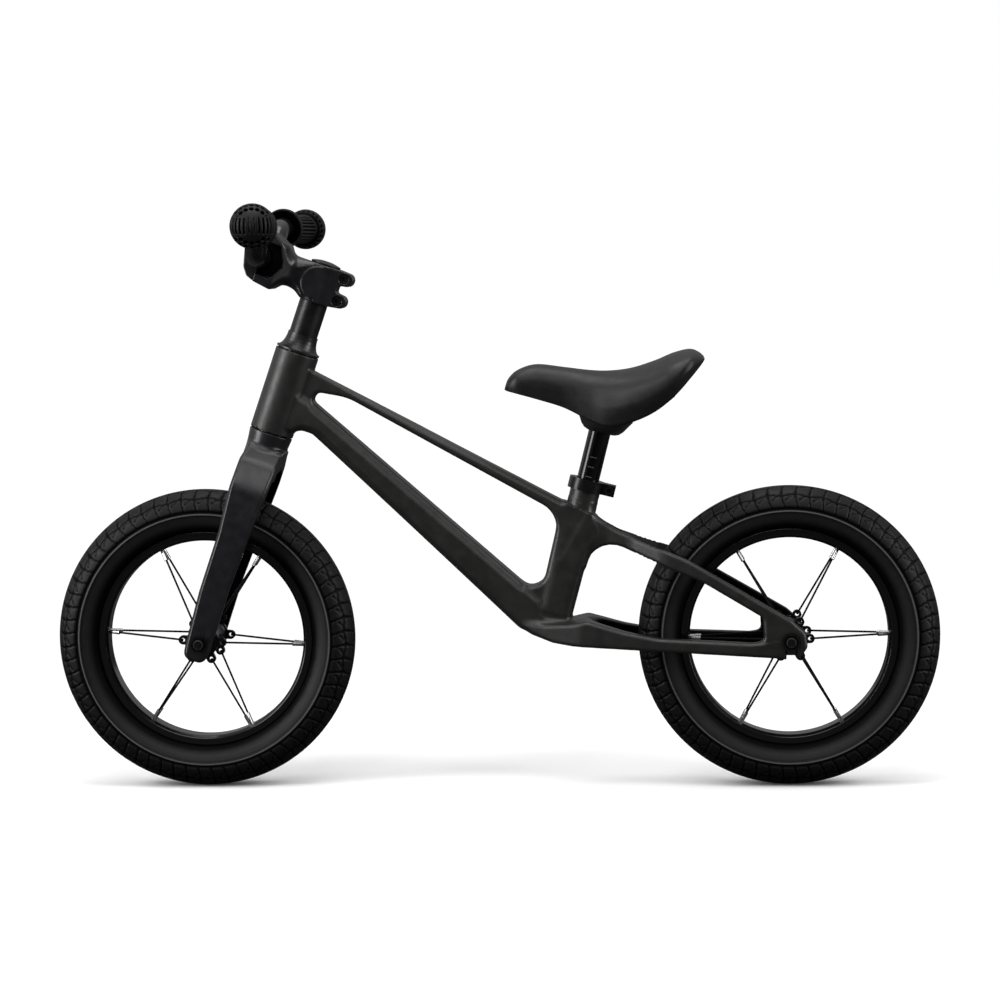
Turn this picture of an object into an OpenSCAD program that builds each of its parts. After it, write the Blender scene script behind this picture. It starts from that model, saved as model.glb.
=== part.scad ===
// Balance bike for a small child: cast frame and fork, two spoked 12 inch wheels,
// threadless headset and stem, riser handlebar with ball-ended grips, and a
// height-adjustable moulded saddle.
// Millimetres. +X forward, +Y to the rider's left, +Z up. The origin is on the
// ground, midway between the two axles.

/* [Wheels] */
// Distance between the two axles
wheelbase = 584.5; // [570:0.5:600]
// Outside diameter of the inflated tyre
tyre_d = 300; // [294:1:302]
// Width of the inflated tyre
tyre_w = 49; // [44:1:52]
// Diameter that the tyre's beads sit on
bead_d = 203; // [201:0.5:205]
// Height of the rim's flanges above the bead seat
flange_h = 6.5; // [5:0.5:8]
// Outside width of the rim
rim_w = 27; // [25:0.5:32]
// Thickness of the rim's walls
rim_t = 1.8; // [1.5:0.1:2.5]
// Length of the hub between the fork's dropout faces
hub_w = 80; // [76:1:84]
// Diameter of the hub's barrel
hub_d = 30; // [28:1:34]
// Distance between the middles of the hub's two flanges
flange_gap = 60; // [54:1:64]
// Diameter of the circle through the flange eyelets
eyelet_circle_d = 39; // [38:0.5:44]
// Outside diameter of one eyelet
eyelet_d = 9; // [8:0.5:10]
// Thickness of a hub flange
flange_t = 5; // [4:0.5:6]
// Number of spoke pairs in a wheel
spoke_pairs = 6; // [6:1:8]
// Diameter of a spoke
spoke_d = 2; // [1.8:0.1:2.3]
// Distance between the two spoke holes of a pair, across the rim
nipple_gap = 10; // [8:0.5:12]
// Diameter of a spoke nipple
nipple_d = 4; // [3.6:0.1:4.6]
// Length of a spoke nipple inside the rim
nipple_l = 11.5; // [10:0.5:14]
// Diameter of the wheel axles
axle_d = 8; // [8:0.5:9]
// Outside diameter of a hub bearing
hub_bearing_d = 22; // [20:1:24]
// Width of a hub bearing
hub_bearing_w = 7; // [6:0.5:9]
// Angle of the front wheel's first spoke pair
front_phase = 4; // [0:1:60]
// Angle of the rear wheel's first spoke pair
rear_phase = 59; // [0:1:60]
// Diameter of a tyre valve
valve_d = 7; // [6:0.5:8]
// Length of a valve that shows inside the rim
valve_l = 30; // [24:1:34]

/* [Steering] */
// Lean of the steering axis from the vertical
head_lean = 19.1; // [18:0.1:20]
// Distance of the steering axis ahead of the front axle
axis_lead = 2.6; // [0:0.1:4]
// Outside diameter of the head tube
head_d = 44; // [42:0.5:46]
// Length of the head tube
head_l = 84; // [78:1:90]
// Height of the head tube's lower end above the axle, along the steering axis
head_s = 218.4; // [216:0.2:224]
// Gap between the head tube and the piece next to it at each end
head_gap = 1; // [0.6:0.1:1.6]
// Outside diameter of the steerer tube
steerer_d = 25.4; // [25:0.1:26]
// Wall of the steerer tube
steerer_t = 2; // [1.6:0.2:2.6]
// Outside diameter of a headset bearing
headset_d = 38; // [37:0.5:39]
// Height of a headset bearing
headset_h = 7; // [6:0.5:9]
// Height of the flared cap over the upper bearing
cone_h = 17.5; // [16:0.5:22]
// Outside diameter of the spacer tube under the stem
spacer_d = 28.6; // [28.2:0.2:29.4]
// Length of the spacer tube under the stem
spacer_l = 34.5; // [28:0.5:38]
// Height of the stem's steerer clamp
stem_h = 38; // [36:1:42]
// Width of the stem's steerer clamp
stem_w = 38; // [36:1:42]
// Distance of the handlebar ahead of the steering axis
stem_reach = 62.4; // [58:0.2:68]
// Height of the handlebar above the foot of the stem, along the steering axis
stem_rise = 26; // [22:0.5:30]
// Width of the stem's handlebar clamp
bar_clamp_w = 52; // [48:1:56]

/* [Handlebar] */
// Diameter of the handlebar
bar_d = 22.2; // [22:0.1:22.6]
// Wall of the handlebar
bar_t = 2; // [1.6:0.2:3]
// Overall width of the handlebar with its grips
bar_w = 448; // [430:2:460]
// Rise of the grips above the clamp
bar_rise = 28.5; // [24:0.5:32]
// Angle by which the grips sweep back
bar_sweep = 6; // [4:0.5:8]
// Distance that the rising part of the handlebar leans back
bar_back = 6; // [4:0.5:9]
// Half of the straight length at the clamp
bar_flat = 38; // [36:1:42]
// Slope of the rising part of the handlebar
bar_slope = 42; // [36:1:46]
// Bend radius of the handlebar
bar_bend_r = 36; // [32:1:40]
// Length of a grip, from its inner disc to the end of its ball
grip_l = 126; // [118:1:130]
// Diameter of the ribbed part of a grip
grip_d = 30; // [28:0.5:32]
// Diameter of a grip's inner disc
disc_d = 41; // [38:0.5:44]
// Diameter of the ball at a grip's end
ball_d = 42.5; // [40:0.5:45]

/* [Frame] */
// Width of the top tube
top_tube_w = 27; // [24:1:30]
// Width of the down tube
down_tube_w = 35; // [32:1:38]
// Bevel along the edges of the tubes
bevel = 5; // [3:0.5:6]
// Lean of the seat tube from the vertical
seat_lean = 14.2; // [13:0.1:15]
// Distance of the seat tube's foot behind the middle of the bike
seat_foot_x = 56; // [52:1:60]
// Height of the seat tube's foot above the ground
seat_foot_z = 160; // [156:1:164]
// Outside diameter of the seat tube's round collar
collar_d = 30; // [29:0.5:32]
// Height of the collar's upper end above the seat tube's foot
collar_s = 150.5; // [148:0.5:156]
// Thickness of a rear dropout plate
dropout_t = 12; // [10:0.5:13]
// Distance of the stays' inner faces from the tyre's side
stay_gap = 6; // [4:0.5:8]
// Thickness of a stay, across the bike
stay_t = 13; // [11:0.5:15]
// Thickness of a fork leg, across the bike
leg_t = 12; // [10:0.5:13]

/* [Seat] */
// Diameter of the seatpost
post_d = 22.2; // [22:0.1:22.6]
// Wall of the seatpost
post_t = 2; // [1.6:0.2:3]
// Length of the seatpost
post_l = 150; // [140:1:156]
// Height of the seatpost's upper end above the seat tube's foot, along the tube
post_s = 222; // [218:1:224]
// Height of the seat clamp
clamp_h = 11.5; // [10:0.5:14]
// Thickness of the seat clamp's band
clamp_t = 3.4; // [2.5:0.1:4.5]
// Width of the saddle at its tail
saddle_w = 128; // [120:1:136]
// Width of the saddle at its nose
nose_w = 46; // [42:1:52]
// Thickness of the saddle's base plate
base_t = 3; // [2.5:0.5:5]

/* [Hidden] */

// Clearances
fit = 0.05;      // a running or sliding fit, on the radius
seat_fit = 0.1;  // two fixed pieces that fit together, on the radius
soft_gap = 0.3;  // a soft piece beside a hard one

wheel_r = tyre_d / 2;
front_x = wheelbase / 2;
rear_x = -wheelbase / 2;
// Distances along the stays follow the space from the rear axle to the seat tube's foot
stay_span = 236.25;
stay_k = (-seat_foot_x - rear_x) / stay_span;

bar_end_gap = 12;          // from the handlebar's end to the grip's

// Places along the steering axis, measured up from the front axle
head_top = head_s + head_l;
cone_s = head_top + head_gap;
spacer_s = cone_s + cone_h;
stem_s = spacer_s + spacer_l;
stem_top = stem_s + stem_h;
crown_top = head_s - head_gap;
bar_s = stem_s + stem_rise;

// ---------------------------------------------------------------- helpers

function unit(v) = v / norm(v);

// Points of the rounded corner at b between a and c
function corner(a, b, c, r, n = 8) = r == 0 ? [b] :
    let (u = unit(a - b), v = unit(c - b),
         half = acos(u * v) / 2,
         m = b + unit(u + v) * r / sin(half),
         p = b + u * r / tan(half) - m,
         a0 = atan2(p.y, p.x),
         turn = -sign(cross(u, v)) * (180 - 2 * half))
    [for (i = [0 : n]) m + r * [cos(a0 + turn * i / n), sin(a0 + turn * i / n)]];

// Outline through corners given as [[x, y], radius]
function rounded(p) = let (n = len(p))
    [for (i = [0 : n - 1])
        each corner(p[(i + n - 1) % n][0], p[i][0], p[(i + 1) % n][0], p[i][1])];

// Smooth curve through points, with n steps between each two
function spline(p, n = 6) = let (m = len(p) - 1)
    concat([for (i = [0 : m - 1], k = [0 : n - 1])
        let (t = k / n,
             a = p[max(i - 1, 0)], b = p[i], c = p[i + 1], d = p[min(i + 2, m)])
        0.5 * (2 * b + (c - a) * t + (2 * a - 5 * b + 4 * c - d) * t * t
               + (3 * b - a - 3 * c + d) * t * t * t)], [p[m]]);

// A point s up the steering axis from the axle and x ahead of the axis
function head_pt(s, x) =
    [front_x + (axis_lead + x) * cos(head_lean) - s * sin(head_lean),
     wheel_r + (axis_lead + x) * sin(head_lean) + s * cos(head_lean)];

// A point s up the seat tube from its foot and x ahead of its axis
function seat_pt(s, x) =
    [-seat_foot_x + x * cos(seat_lean) - s * sin(seat_lean),
     seat_foot_z + x * sin(seat_lean) + s * cos(seat_lean)];

// A point beside the rear axle
function rear_pt(x, z) = [rear_x + x * stay_k, wheel_r + z];

// Flat outline in the bike's side view, extruded to both sides of the middle
module side(pts, w) {
    rotate([90, 0, 0])
        linear_extrude(w, center = true)
            polygon(pts);
}

module on_head(s = 0, x = 0) {
    translate([front_x, 0, wheel_r])
        rotate([0, -head_lean, 0])
            translate([axis_lead + x, 0, s])
                children();
}

module on_seat(s = 0, x = 0) {
    translate([-seat_foot_x, 0, seat_foot_z])
        rotate([0, -seat_lean, 0])
            translate([x, 0, s])
                children();
}

// Lays +Z along +Y, so that a turned piece lies along an axle
module along_y() {
    rotate([-90, 0, 0])
        children();
}

module both_sides() {
    children();
    mirror([0, 1, 0])
        children();
}

module tube(d, bore, l) {
    difference() {
        cylinder(d = d, h = l, $fn = 64);
        translate([0, 0, -1])
            cylinder(d = bore, h = l + 2, $fn = 64);
    }
}

// Socket head screw along -Z, its head's underside at the origin
module socket_screw(d, l, head_d, head_h) {
    translate([0, 0, -l])
        cylinder(d = d, h = l, $fn = 32);
    difference() {
        cylinder(d = head_d, h = head_h, $fn = 32);
        translate([0, 0, head_h * 0.4])
            cylinder(d = d * 0.95, h = head_h, $fn = 6);
    }
}

// ---------------------------------------------------------------- wheels

tyre_r = wheel_r - tyre_w / 2;         // middle of the tyre's section
tyre_t = 3.2;                          // thickness of the tyre
rim_r = bead_d / 2 + flange_h;         // edge of the rim's flanges
bed_r = bead_d / 2 - 1;                // outer face of the rim's bed
bed_in_r = bed_r - rim_t;              // face of the rim towards the hub
tape_t = 0.6;
nipple_head_s = 1.05;                  // from the rim's bed to a nipple's head
nipple_head_h = 0.8;
tape_r = bed_r + nipple_head_s + nipple_head_h + 0.8;
tube_foot_r = tape_r + tape_t + 0.2;   // the inner tube's side towards the hub
tube_t = 1.2;
bead_r = bead_d / 2 + 0.1;             // foot of the tyre's beads
rim_in_w = rim_w - 2 * rim_t;
bead_w = 4.5;                          // width of one bead foot

// Radius below which the tyre and its tube narrow to pass between the flanges
neck_depth = 10.5;                     // from the section's inner side to its open neck
neck_r = max(rim_r + 3.5, tyre_r - tyre_w / 2 + neck_depth);
bead_in = rim_in_w / 2 - seat_fit - bead_w;   // half the space between the bead feet

module tyre() {
    along_y()
        rotate_extrude($fn = 128)
            difference() {
                union() {
                    translate([tyre_r, 0])
                        circle(d = tyre_w, $fn = 64);
                    translate([bead_r, -rim_in_w / 2 + seat_fit])
                        square([neck_r - bead_r, rim_in_w - 2 * seat_fit]);
                }
                intersection() {
                    translate([tyre_r, 0])
                        circle(r = tyre_w / 2 - tyre_t, $fn = 64);
                    translate([neck_r, -tyre_w / 2])
                        square([tyre_w, tyre_w]);
                }
                translate([bead_r - 1, -bead_in])
                    square([neck_r - bead_r + 2, 2 * bead_in]);
                // Room for the rim's flanges and bed
                for (y = [-1, 1])
                    translate([rim_r - 20, y * (rim_in_w / 2 - seat_fit + 10) - 10])
                        square([20.4, 20]);
                translate([bead_r - 20, -tyre_w])
                    square([20, 2 * tyre_w]);
            }
}

// Section of the inner tube: round in the tyre, with a neck between the beads
module tube_section(wall) {
    intersection() {
        translate([tyre_r, 0])
            circle(r = tyre_w / 2 - tyre_t - soft_gap - wall, $fn = 64);
        translate([neck_r + soft_gap + wall, -tyre_w / 2])
            square([tyre_w, tyre_w]);
    }
    translate([tube_foot_r + wall, -bead_in + soft_gap + wall])
        square([neck_r + 2 - tube_foot_r, 2 * (bead_in - soft_gap - wall)]);
}

module inner_tube() {
    along_y()
        rotate_extrude($fn = 128)
            difference() {
                tube_section(0);
                tube_section(tube_t);
            }
}

module rim_tape(angle) {
    difference() {
        along_y()
            rotate_extrude($fn = 128)
                translate([tape_r, soft_gap - bead_in])
                    square([tape_t, 2 * (bead_in - soft_gap)]);
        at_angle(angle, tape_r)
            cylinder(d = valve_d + 2 * seat_fit, h = 10, center = true, $fn = 32);
    }
}

// Radial place in a wheel: +Z points outwards at the given angle and radius
module at_angle(angle, r = 0) {
    rotate([0, 90 - angle, 0])
        translate([0, 0, r])
            children();
}

module rim(phase, valve_angle) {
    difference() {
        along_y()
            rotate_extrude($fn = 128)
                polygon(concat(
                    rounded([[[bed_in_r, -nipple_gap], 3], [[bed_in_r, nipple_gap], 3],
                             [[bed_in_r + 2.5, rim_w / 2], 2], [[rim_r, rim_w / 2], 0.8],
                             [[rim_r, rim_w / 2 - rim_t], 0.8],
                             [[bead_d / 2, rim_w / 2 - rim_t], 0],
                             [[bead_d / 2, nipple_gap - 1], 0], [[bed_r, nipple_gap - 1.5], 0],
                             [[bed_r, 1.5 - nipple_gap], 0], [[bead_d / 2, 1 - nipple_gap], 0],
                             [[bead_d / 2, rim_t - rim_w / 2], 0],
                             [[rim_r, rim_t - rim_w / 2], 0.8], [[rim_r, -rim_w / 2], 0.8],
                             [[bed_in_r + 2.5, -rim_w / 2], 2]])));
        for (i = [0 : spoke_pairs - 1], y = [-1, 1])
            spoke_place(phase + i * 360 / spoke_pairs, y)
                translate([0, 0, spoke_l - 10])
                    cylinder(d = nipple_d + 2 * seat_fit, h = 20, $fn = 32);
        at_angle(valve_angle, bed_r)
            cylinder(d = valve_d + 2 * seat_fit, h = 12, center = true, $fn = 32);
    }
}

// A spoke runs from an eyelet's outer rim to its nipple's hole in the rim
eyelet_bore = 4;
spoke_r0 = eyelet_circle_d / 2 + eyelet_bore / 2;
spoke_rise = flange_gap / 2 - nipple_gap / 2;
spoke_run = bed_in_r - spoke_r0;
spoke_l = norm([spoke_run, spoke_rise]);
spoke_tilt = atan2(spoke_rise, spoke_run);

// +Z points along the spoke, from its hub end at the origin
module spoke_place(angle, y) {
    at_angle(angle)
        translate([0, y * flange_gap / 2, spoke_r0])
            rotate([y * spoke_tilt, 0, 0])
                children();
}

spoke_head_s = 1;    // from the eyelet's wall to the spoke's head

module spokes(phase) {
    for (i = [0 : spoke_pairs - 1], y = [-1, 1])
        spoke_place(phase + i * 360 / spoke_pairs, y) {
            translate([0, 0, -spoke_head_s])
                cylinder(d = spoke_d, h = spoke_head_s + spoke_l - nipple_l + 6, $fn = 24);
            translate([0, 0, -spoke_head_s - 0.8])
                cylinder(d = spoke_d + 0.6, h = 0.9, $fn = 24);
        }
}

module nipples(phase) {
    for (i = [0 : spoke_pairs - 1], y = [-1, 1])
        spoke_place(phase + i * 360 / spoke_pairs, y)
            difference() {
                union() {
                    translate([0, 0, spoke_l - nipple_l])
                        cylinder(d = nipple_d, h = nipple_l + rim_t + nipple_head_s + 0.2, $fn = 32);
                    translate([0, 0, spoke_l + rim_t + nipple_head_s])
                        cylinder(d = nipple_d + 1.2, h = nipple_head_h, $fn = 32);
                }
                translate([0, 0, spoke_l - nipple_l - 1])
                    cylinder(d = spoke_d + 0.04, h = 7.3, $fn = 24);
            }
}

module hub(phase) {
    difference() {
        union() {
            along_y()
                translate([0, 0, -hub_w / 2 + 3])
                    cylinder(d = hub_d - 3, h = hub_w - 6, $fn = 64);
            along_y()
                translate([0, 0, -flange_gap / 2 - flange_t / 2])
                    cylinder(d = hub_d, h = flange_gap + flange_t, $fn = 64);
            for (y = [-1, 1])
                translate([0, y * flange_gap / 2, 0])
                    star(phase);
        }
        along_y() {
            cylinder(d = hub_bearing_d - 4, h = hub_w, center = true, $fn = 48);
            for (z = [-1, 1])
                translate([0, 0, z * (hub_w / 2 - 3 - hub_bearing_w / 2 + 0.5)])
                    cylinder(d = hub_bearing_d + 2 * seat_fit, h = hub_bearing_w + 1,
                             center = true, $fn = 48);
        }
        // The waist between the flanges
        along_y()
            rotate_extrude($fn = 64)
                translate([hub_d / 2 + 37, 0])
                    circle(r = 40, $fn = 128);
        for (i = [0 : spoke_pairs - 1], y = [-1, 1])
            spoke_place(phase + i * 360 / spoke_pairs, y)
                translate([0, 0, -1])
                    cylinder(d = spoke_d + 2 * seat_fit, h = eyelet_d, $fn = 24);
    }
}

// One hub flange: an eyelet for each spoke, on webs around the barrel
module star(phase) {
    rotate([90, 0, 0])
        linear_extrude(flange_t, center = true)
            difference() {
                union() {
                    circle(d = hub_d + 2, $fn = 64);
                    for (i = [0 : spoke_pairs - 1])
                        rotate(phase + i * 360 / spoke_pairs) {
                            translate([eyelet_circle_d / 2, 0])
                                circle(d = eyelet_d, $fn = 32);
                            translate([0, -eyelet_d / 2])
                                square([eyelet_circle_d / 2, eyelet_d]);
                        }
                }
                for (i = [0 : spoke_pairs - 1])
                    rotate(phase + i * 360 / spoke_pairs)
                        translate([eyelet_circle_d / 2, 0])
                            circle(d = eyelet_bore, $fn = 32);
            }
}

// Two sealed bearings, their outer faces at the ends of the hub's barrel
module hub_bearings() {
    along_y()
        for (z = [-1, 1])
            translate([0, 0, z * (hub_w / 2 - 3 - hub_bearing_w / 2)])
                difference() {
                    cylinder(d = hub_bearing_d, h = hub_bearing_w, center = true, $fn = 48);
                    cylinder(d = axle_d + 2 * fit, h = hub_bearing_w + 1, center = true,
                             $fn = 48);
                }
}

// The valve comes from the tube, through tape and rim, towards the hub
module valve(angle) {
    foot = tube_foot_r - 0.1;
    at_angle(angle, foot)
        mirror([0, 0, 1])
            rotate_extrude($fn = 32)
                polygon([[0, 0], [valve_d / 2, 0], [valve_d / 2, foot - bed_in_r + 8],
                         [valve_d / 2 - 1, foot - bed_in_r + 9],
                         [valve_d / 2 - 1, foot - bed_in_r + valve_l - 11],
                         [valve_d / 2 - 0.2, foot - bed_in_r + valve_l - 11],
                         [valve_d / 2 - 0.2, foot - bed_in_r + valve_l - 1],
                         [valve_d / 2 - 1.2, foot - bed_in_r + valve_l],
                         [0, foot - bed_in_r + valve_l]]);
}

valve_front = 109;
valve_rear = 36;

module at_wheel(x) {
    translate([x, 0, wheel_r])
        children();
}

module front_tyre() { color([0.06, 0.06, 0.065]) at_wheel(front_x) tyre(); }
module rear_tyre() { color([0.06, 0.06, 0.065]) at_wheel(rear_x) tyre(); }
module front_inner_tube() { color([0.1, 0.1, 0.1]) at_wheel(front_x) inner_tube(); }
module rear_inner_tube() { color([0.1, 0.1, 0.1]) at_wheel(rear_x) inner_tube(); }
module front_valve() { color([0.12, 0.12, 0.12]) at_wheel(front_x) valve(valve_front); }
module rear_valve() { color([0.12, 0.12, 0.12]) at_wheel(rear_x) valve(valve_rear); }
module front_rim_tape() { color([0.2, 0.2, 0.2]) at_wheel(front_x) rim_tape(valve_front); }
module rear_rim_tape() { color([0.2, 0.2, 0.2]) at_wheel(rear_x) rim_tape(valve_rear); }
module front_rim() { color([0.05, 0.05, 0.05]) at_wheel(front_x) rim(front_phase, valve_front); }
module rear_rim() { color([0.05, 0.05, 0.05]) at_wheel(rear_x) rim(rear_phase, valve_rear); }
module front_hub() { color([0.08, 0.08, 0.085]) at_wheel(front_x) hub(front_phase); }
module rear_hub() { color([0.08, 0.08, 0.085]) at_wheel(rear_x) hub(rear_phase); }
module front_hub_bearings() { color([0.7, 0.7, 0.7]) at_wheel(front_x) hub_bearings(); }
module rear_hub_bearings() { color([0.7, 0.7, 0.7]) at_wheel(rear_x) hub_bearings(); }
module front_spokes() { color([0.08, 0.08, 0.08]) at_wheel(front_x) spokes(front_phase); }
module rear_spokes() { color([0.08, 0.08, 0.08]) at_wheel(rear_x) spokes(rear_phase); }
module front_nipples() { color([0.8, 0.8, 0.82]) at_wheel(front_x) nipples(front_phase); }
module rear_nipples() { color([0.8, 0.8, 0.82]) at_wheel(rear_x) nipples(rear_phase); }

// ---------------------------------------------------------------- axles

washer_d = 19;
washer_t = 1.8;
nut_af = 13;
nut_h = 6.5;
axle_over = 1.5;   // the axle's end beyond its nut

module axle(plate_t) {
    along_y()
        cylinder(d = axle_d, h = hub_w + 2 * (plate_t + washer_t + nut_h + axle_over),
                 center = true, $fn = 48);
}

module axle_nuts(plate_t) {
    both_sides()
        translate([0, hub_w / 2 + plate_t + washer_t, 0])
            along_y()
                difference() {
                    union() {
                        cylinder(d = nut_af / cos(30), h = nut_h - 1, $fn = 6);
                        cylinder(d1 = nut_af, d2 = nut_af - 1.6, h = nut_h, $fn = 48);
                    }
                    translate([0, 0, -1])
                        cylinder(d = axle_d + 2 * fit, h = nut_h + 2, $fn = 48);
                }
}

module washer(plate_t) {
    translate([0, hub_w / 2 + plate_t, 0])
        along_y()
            tube(washer_d, axle_d + 2 * fit, washer_t);
}

// Spacers between the bearings and the dropouts
module axle_spacers() {
    both_sides()
        translate([0, hub_w / 2 - 3, 0])
            along_y()
                difference() {
                    union() {
                        cylinder(d = axle_d + 4, h = 3, $fn = 48);
                        translate([0, 0, 0.5])
                            cylinder(d = axle_d + 9, h = 2.5, $fn = 48);
                    }
                    translate([0, 0, -1])
                        cylinder(d = axle_d + 2 * fit, h = 6, $fn = 48);
                }
}

module rear_axle() { color([0.3, 0.3, 0.3]) at_wheel(rear_x) axle(dropout_t); }
module front_axle() { color([0.3, 0.3, 0.3]) at_wheel(front_x) axle(leg_t); }
module rear_axle_nuts() { color([0.25, 0.25, 0.25]) at_wheel(rear_x) axle_nuts(dropout_t); }
module front_axle_nuts() { color([0.25, 0.25, 0.25]) at_wheel(front_x) axle_nuts(leg_t); }
module rear_axle_spacers() { color([0.3, 0.3, 0.3]) at_wheel(rear_x) axle_spacers(); }
module front_axle_spacers() { color([0.3, 0.3, 0.3]) at_wheel(front_x) axle_spacers(); }
module front_axle_washers() {
    color([0.1, 0.1, 0.1])
        at_wheel(front_x)
            both_sides()
                washer(leg_t);
}

slot_w = axle_d + 1;       // the rear dropout's slot
tab_drop = 13;             // foot of the tab that closes the slot

// Each rear washer has a tab that sits in the dropout's slot
module rear_axle_washers() {
    color([0.1, 0.1, 0.1])
        at_wheel(rear_x)
            both_sides() {
                washer(dropout_t);
                translate([-slot_w / 2 + seat_fit, hub_w / 2 + dropout_t - 4, -tab_drop])
                    difference() {
                        cube([slot_w - 2 * seat_fit, 4 + washer_t, tab_drop - axle_d / 2]);
                        translate([slot_w / 2 - seat_fit, 2, tab_drop])
                            along_y()
                                cylinder(d = axle_d + 1, h = 12, center = true, $fn = 48);
                    }
            }
}

// ---------------------------------------------------------------- frame

tyre_side = tyre_w / 2;
stay_in = tyre_side + stay_gap;
stay_out = stay_in + stay_t;
plate_in = hub_w / 2;
plate_out = plate_in + dropout_t;

// Corners of the front opening, between the top tube, down tube and seat tube
front_opening = [
    [head_pt(270.6, -27.6), 8], [head_pt(275.8, -62.3), 60],
    [seat_pt(112, 18.7), 26], [seat_pt(24, 17.2), 16.5], [head_pt(259.3, -31.5), 5]
];

// Outline of the top tube, the seat tube and the web at the head tube
top_outline = [
    [head_pt(head_top - 8, -10), 0], [head_pt(head_top - 9.5, -22), 2],
    [head_pt(269, -155), 1500], [seat_pt(125.3, 19), 2], [seat_pt(131, 15.5), 2],
    [seat_pt(131, -15), 2], [seat_pt(117, -15.5), 3], [seat_pt(100, -32), 20],
    [seat_pt(84, -17.4), 4], [seat_pt(10, -16), 3], [seat_pt(-5, -16), 0],
    [seat_pt(-8, 30), 0], [head_pt(230, -40), 0], [head_pt(230, -10), 0]
];

// Outline of the down tube and the bottom shell
down_outline = [
    [head_pt(265, -10), 0], [head_pt(259.3, -31.5), 0], [seat_pt(24, 17.2), 0],
    [seat_pt(24, -16), 0], [seat_pt(10, -16), 3], [seat_pt(-12, -18), 4],
    [seat_pt(-13.1, -5), 20], [seat_pt(-8, 30.5), 30],
    [head_pt(232.5, -44.5), 45], [head_pt(head_s + 14, -30), 8],
    [head_pt(head_s + 6.5, -22), 3], [head_pt(head_s + 4, -10), 0]
];

// Stays in side view
seatstay_outline = [
    [seat_pt(122, -8), 0], [seat_pt(117.5, -16), 0], [rear_pt(169, 106.5), 30],
    [rear_pt(142, 96), 60], [rear_pt(101, 80.5), 120], [rear_pt(0, 21.5), 12],
    [rear_pt(-15, 8), 9], [rear_pt(-16.5, -6), 8], [rear_pt(-9, -16.5), 4],
    [rear_pt(5, -16.5), 0], [rear_pt(42, -6), 0], [rear_pt(32, -2.5), 6],
    [rear_pt(26, 6), 6], [rear_pt(27.5, 23.3), 6], [rear_pt(85, 57), 60],
    [rear_pt(142.8, 80.5), 80], [seat_pt(101, -17.4), 29], [seat_pt(60, -17.4), 0],
    [seat_pt(60, 8), 0]
];
chainstay_outline = [
    [seat_pt(8, 26), 0], [seat_pt(13, 8), 0], [seat_pt(10, -14), 4],
    [rear_pt(200, 19), 12], [rear_pt(164, 8.8), 60], [rear_pt(130, 0.5), 60],
    [rear_pt(42, -3.5), 4], [rear_pt(30, 6), 0], [rear_pt(0, 6), 0], [rear_pt(0, -16.5), 0],
    [rear_pt(4.8, -17.5), 0], [rear_pt(216, -6.5), 12], [seat_pt(-13.1, -5), 0],
    [seat_pt(-10, 18), 10]
];

// Stays in plan view, one side, as [distance ahead of the rear axle, half-width]
seatstay_plan = [
    [[seat_pt(60, 12).x, 0], 0], [[seat_pt(60, 12).x, top_tube_w / 2], 0],
    [[rear_pt(180, 0).x, top_tube_w / 2], 20], [[rear_pt(158, 0).x, 19], 40],
    [[rear_pt(124, 0).x, 38], 50], [[rear_pt(92, 0).x, stay_out], 50],
    [[rear_pt(14, 0).x, plate_out], 40], [[rear_pt(-20, 0).x, plate_out], 0],
    [[rear_pt(-20, 0).x, plate_in], 0], [[rear_pt(18, 0).x, plate_in], 10],
    [[rear_pt(36, 0).x, plate_out - stay_t], 10], [[rear_pt(95, 0).x, stay_in], 30],
    [[rear_pt(130, 0).x, 24.5], 30], [[rear_pt(150, 0).x, 13], 16], [[rear_pt(163, 0).x, 0], 0]
];
chainstay_plan = [
    [[seat_pt(0, 42).x, 0], 0], [[seat_pt(0, 42).x, down_tube_w / 2 - 3], 0],
    [[seat_pt(0, 28).x, down_tube_w / 2], 20], [[rear_pt(206, 0).x, 39], 30],
    [[rear_pt(150, 0).x, stay_out], 60], [[rear_pt(14, 0).x, plate_out], 60],
    [[rear_pt(-20, 0).x, plate_out], 0], [[rear_pt(-20, 0).x, plate_in], 0],
    [[rear_pt(18, 0).x, plate_in], 10], [[rear_pt(30, 0).x, plate_out - stay_t], 10],
    [[rear_pt(140, 0).x, stay_in], 50], [[rear_pt(176, 0).x, 17], 20], [[rear_pt(182, 0).x, 0], 0]
];

// Backward directions of the tubes' upper edges
top_line_back = seat_pt(125.3, 19) - head_pt(head_top - 9.5, -22);
down_line_back = seat_pt(24, 17.2) - head_pt(259.3, -31.5);

module stay_pair(outline, plan) {
    intersection() {
        side(rounded(outline), 2 * plate_out + 2);
        linear_extrude(wheel_r * 3)
            union() {
                polygon(rounded(plan));
                mirror([0, 1])
                    polygon(rounded(plan));
            }
    }
}

// Beam with bevelled edges from p to q in the side view
module bevelled_beam(p, q, below, above, w) {
    d = q - p;
    b = min(bevel, w / 3);
    translate([p.x, 0, p.y])
        rotate([0, -atan2(d.y, d.x), 0])
            rotate([90, 0, 90])
                linear_extrude(norm(d))
                    polygon([[-w / 2, b - below], [b - w / 2, -below],
                             [w / 2 - b, -below], [w / 2, b - below],
                             [w / 2, above - b], [w / 2 - b, above],
                             [b - w / 2, above], [-w / 2, above - b]]);
}

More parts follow.
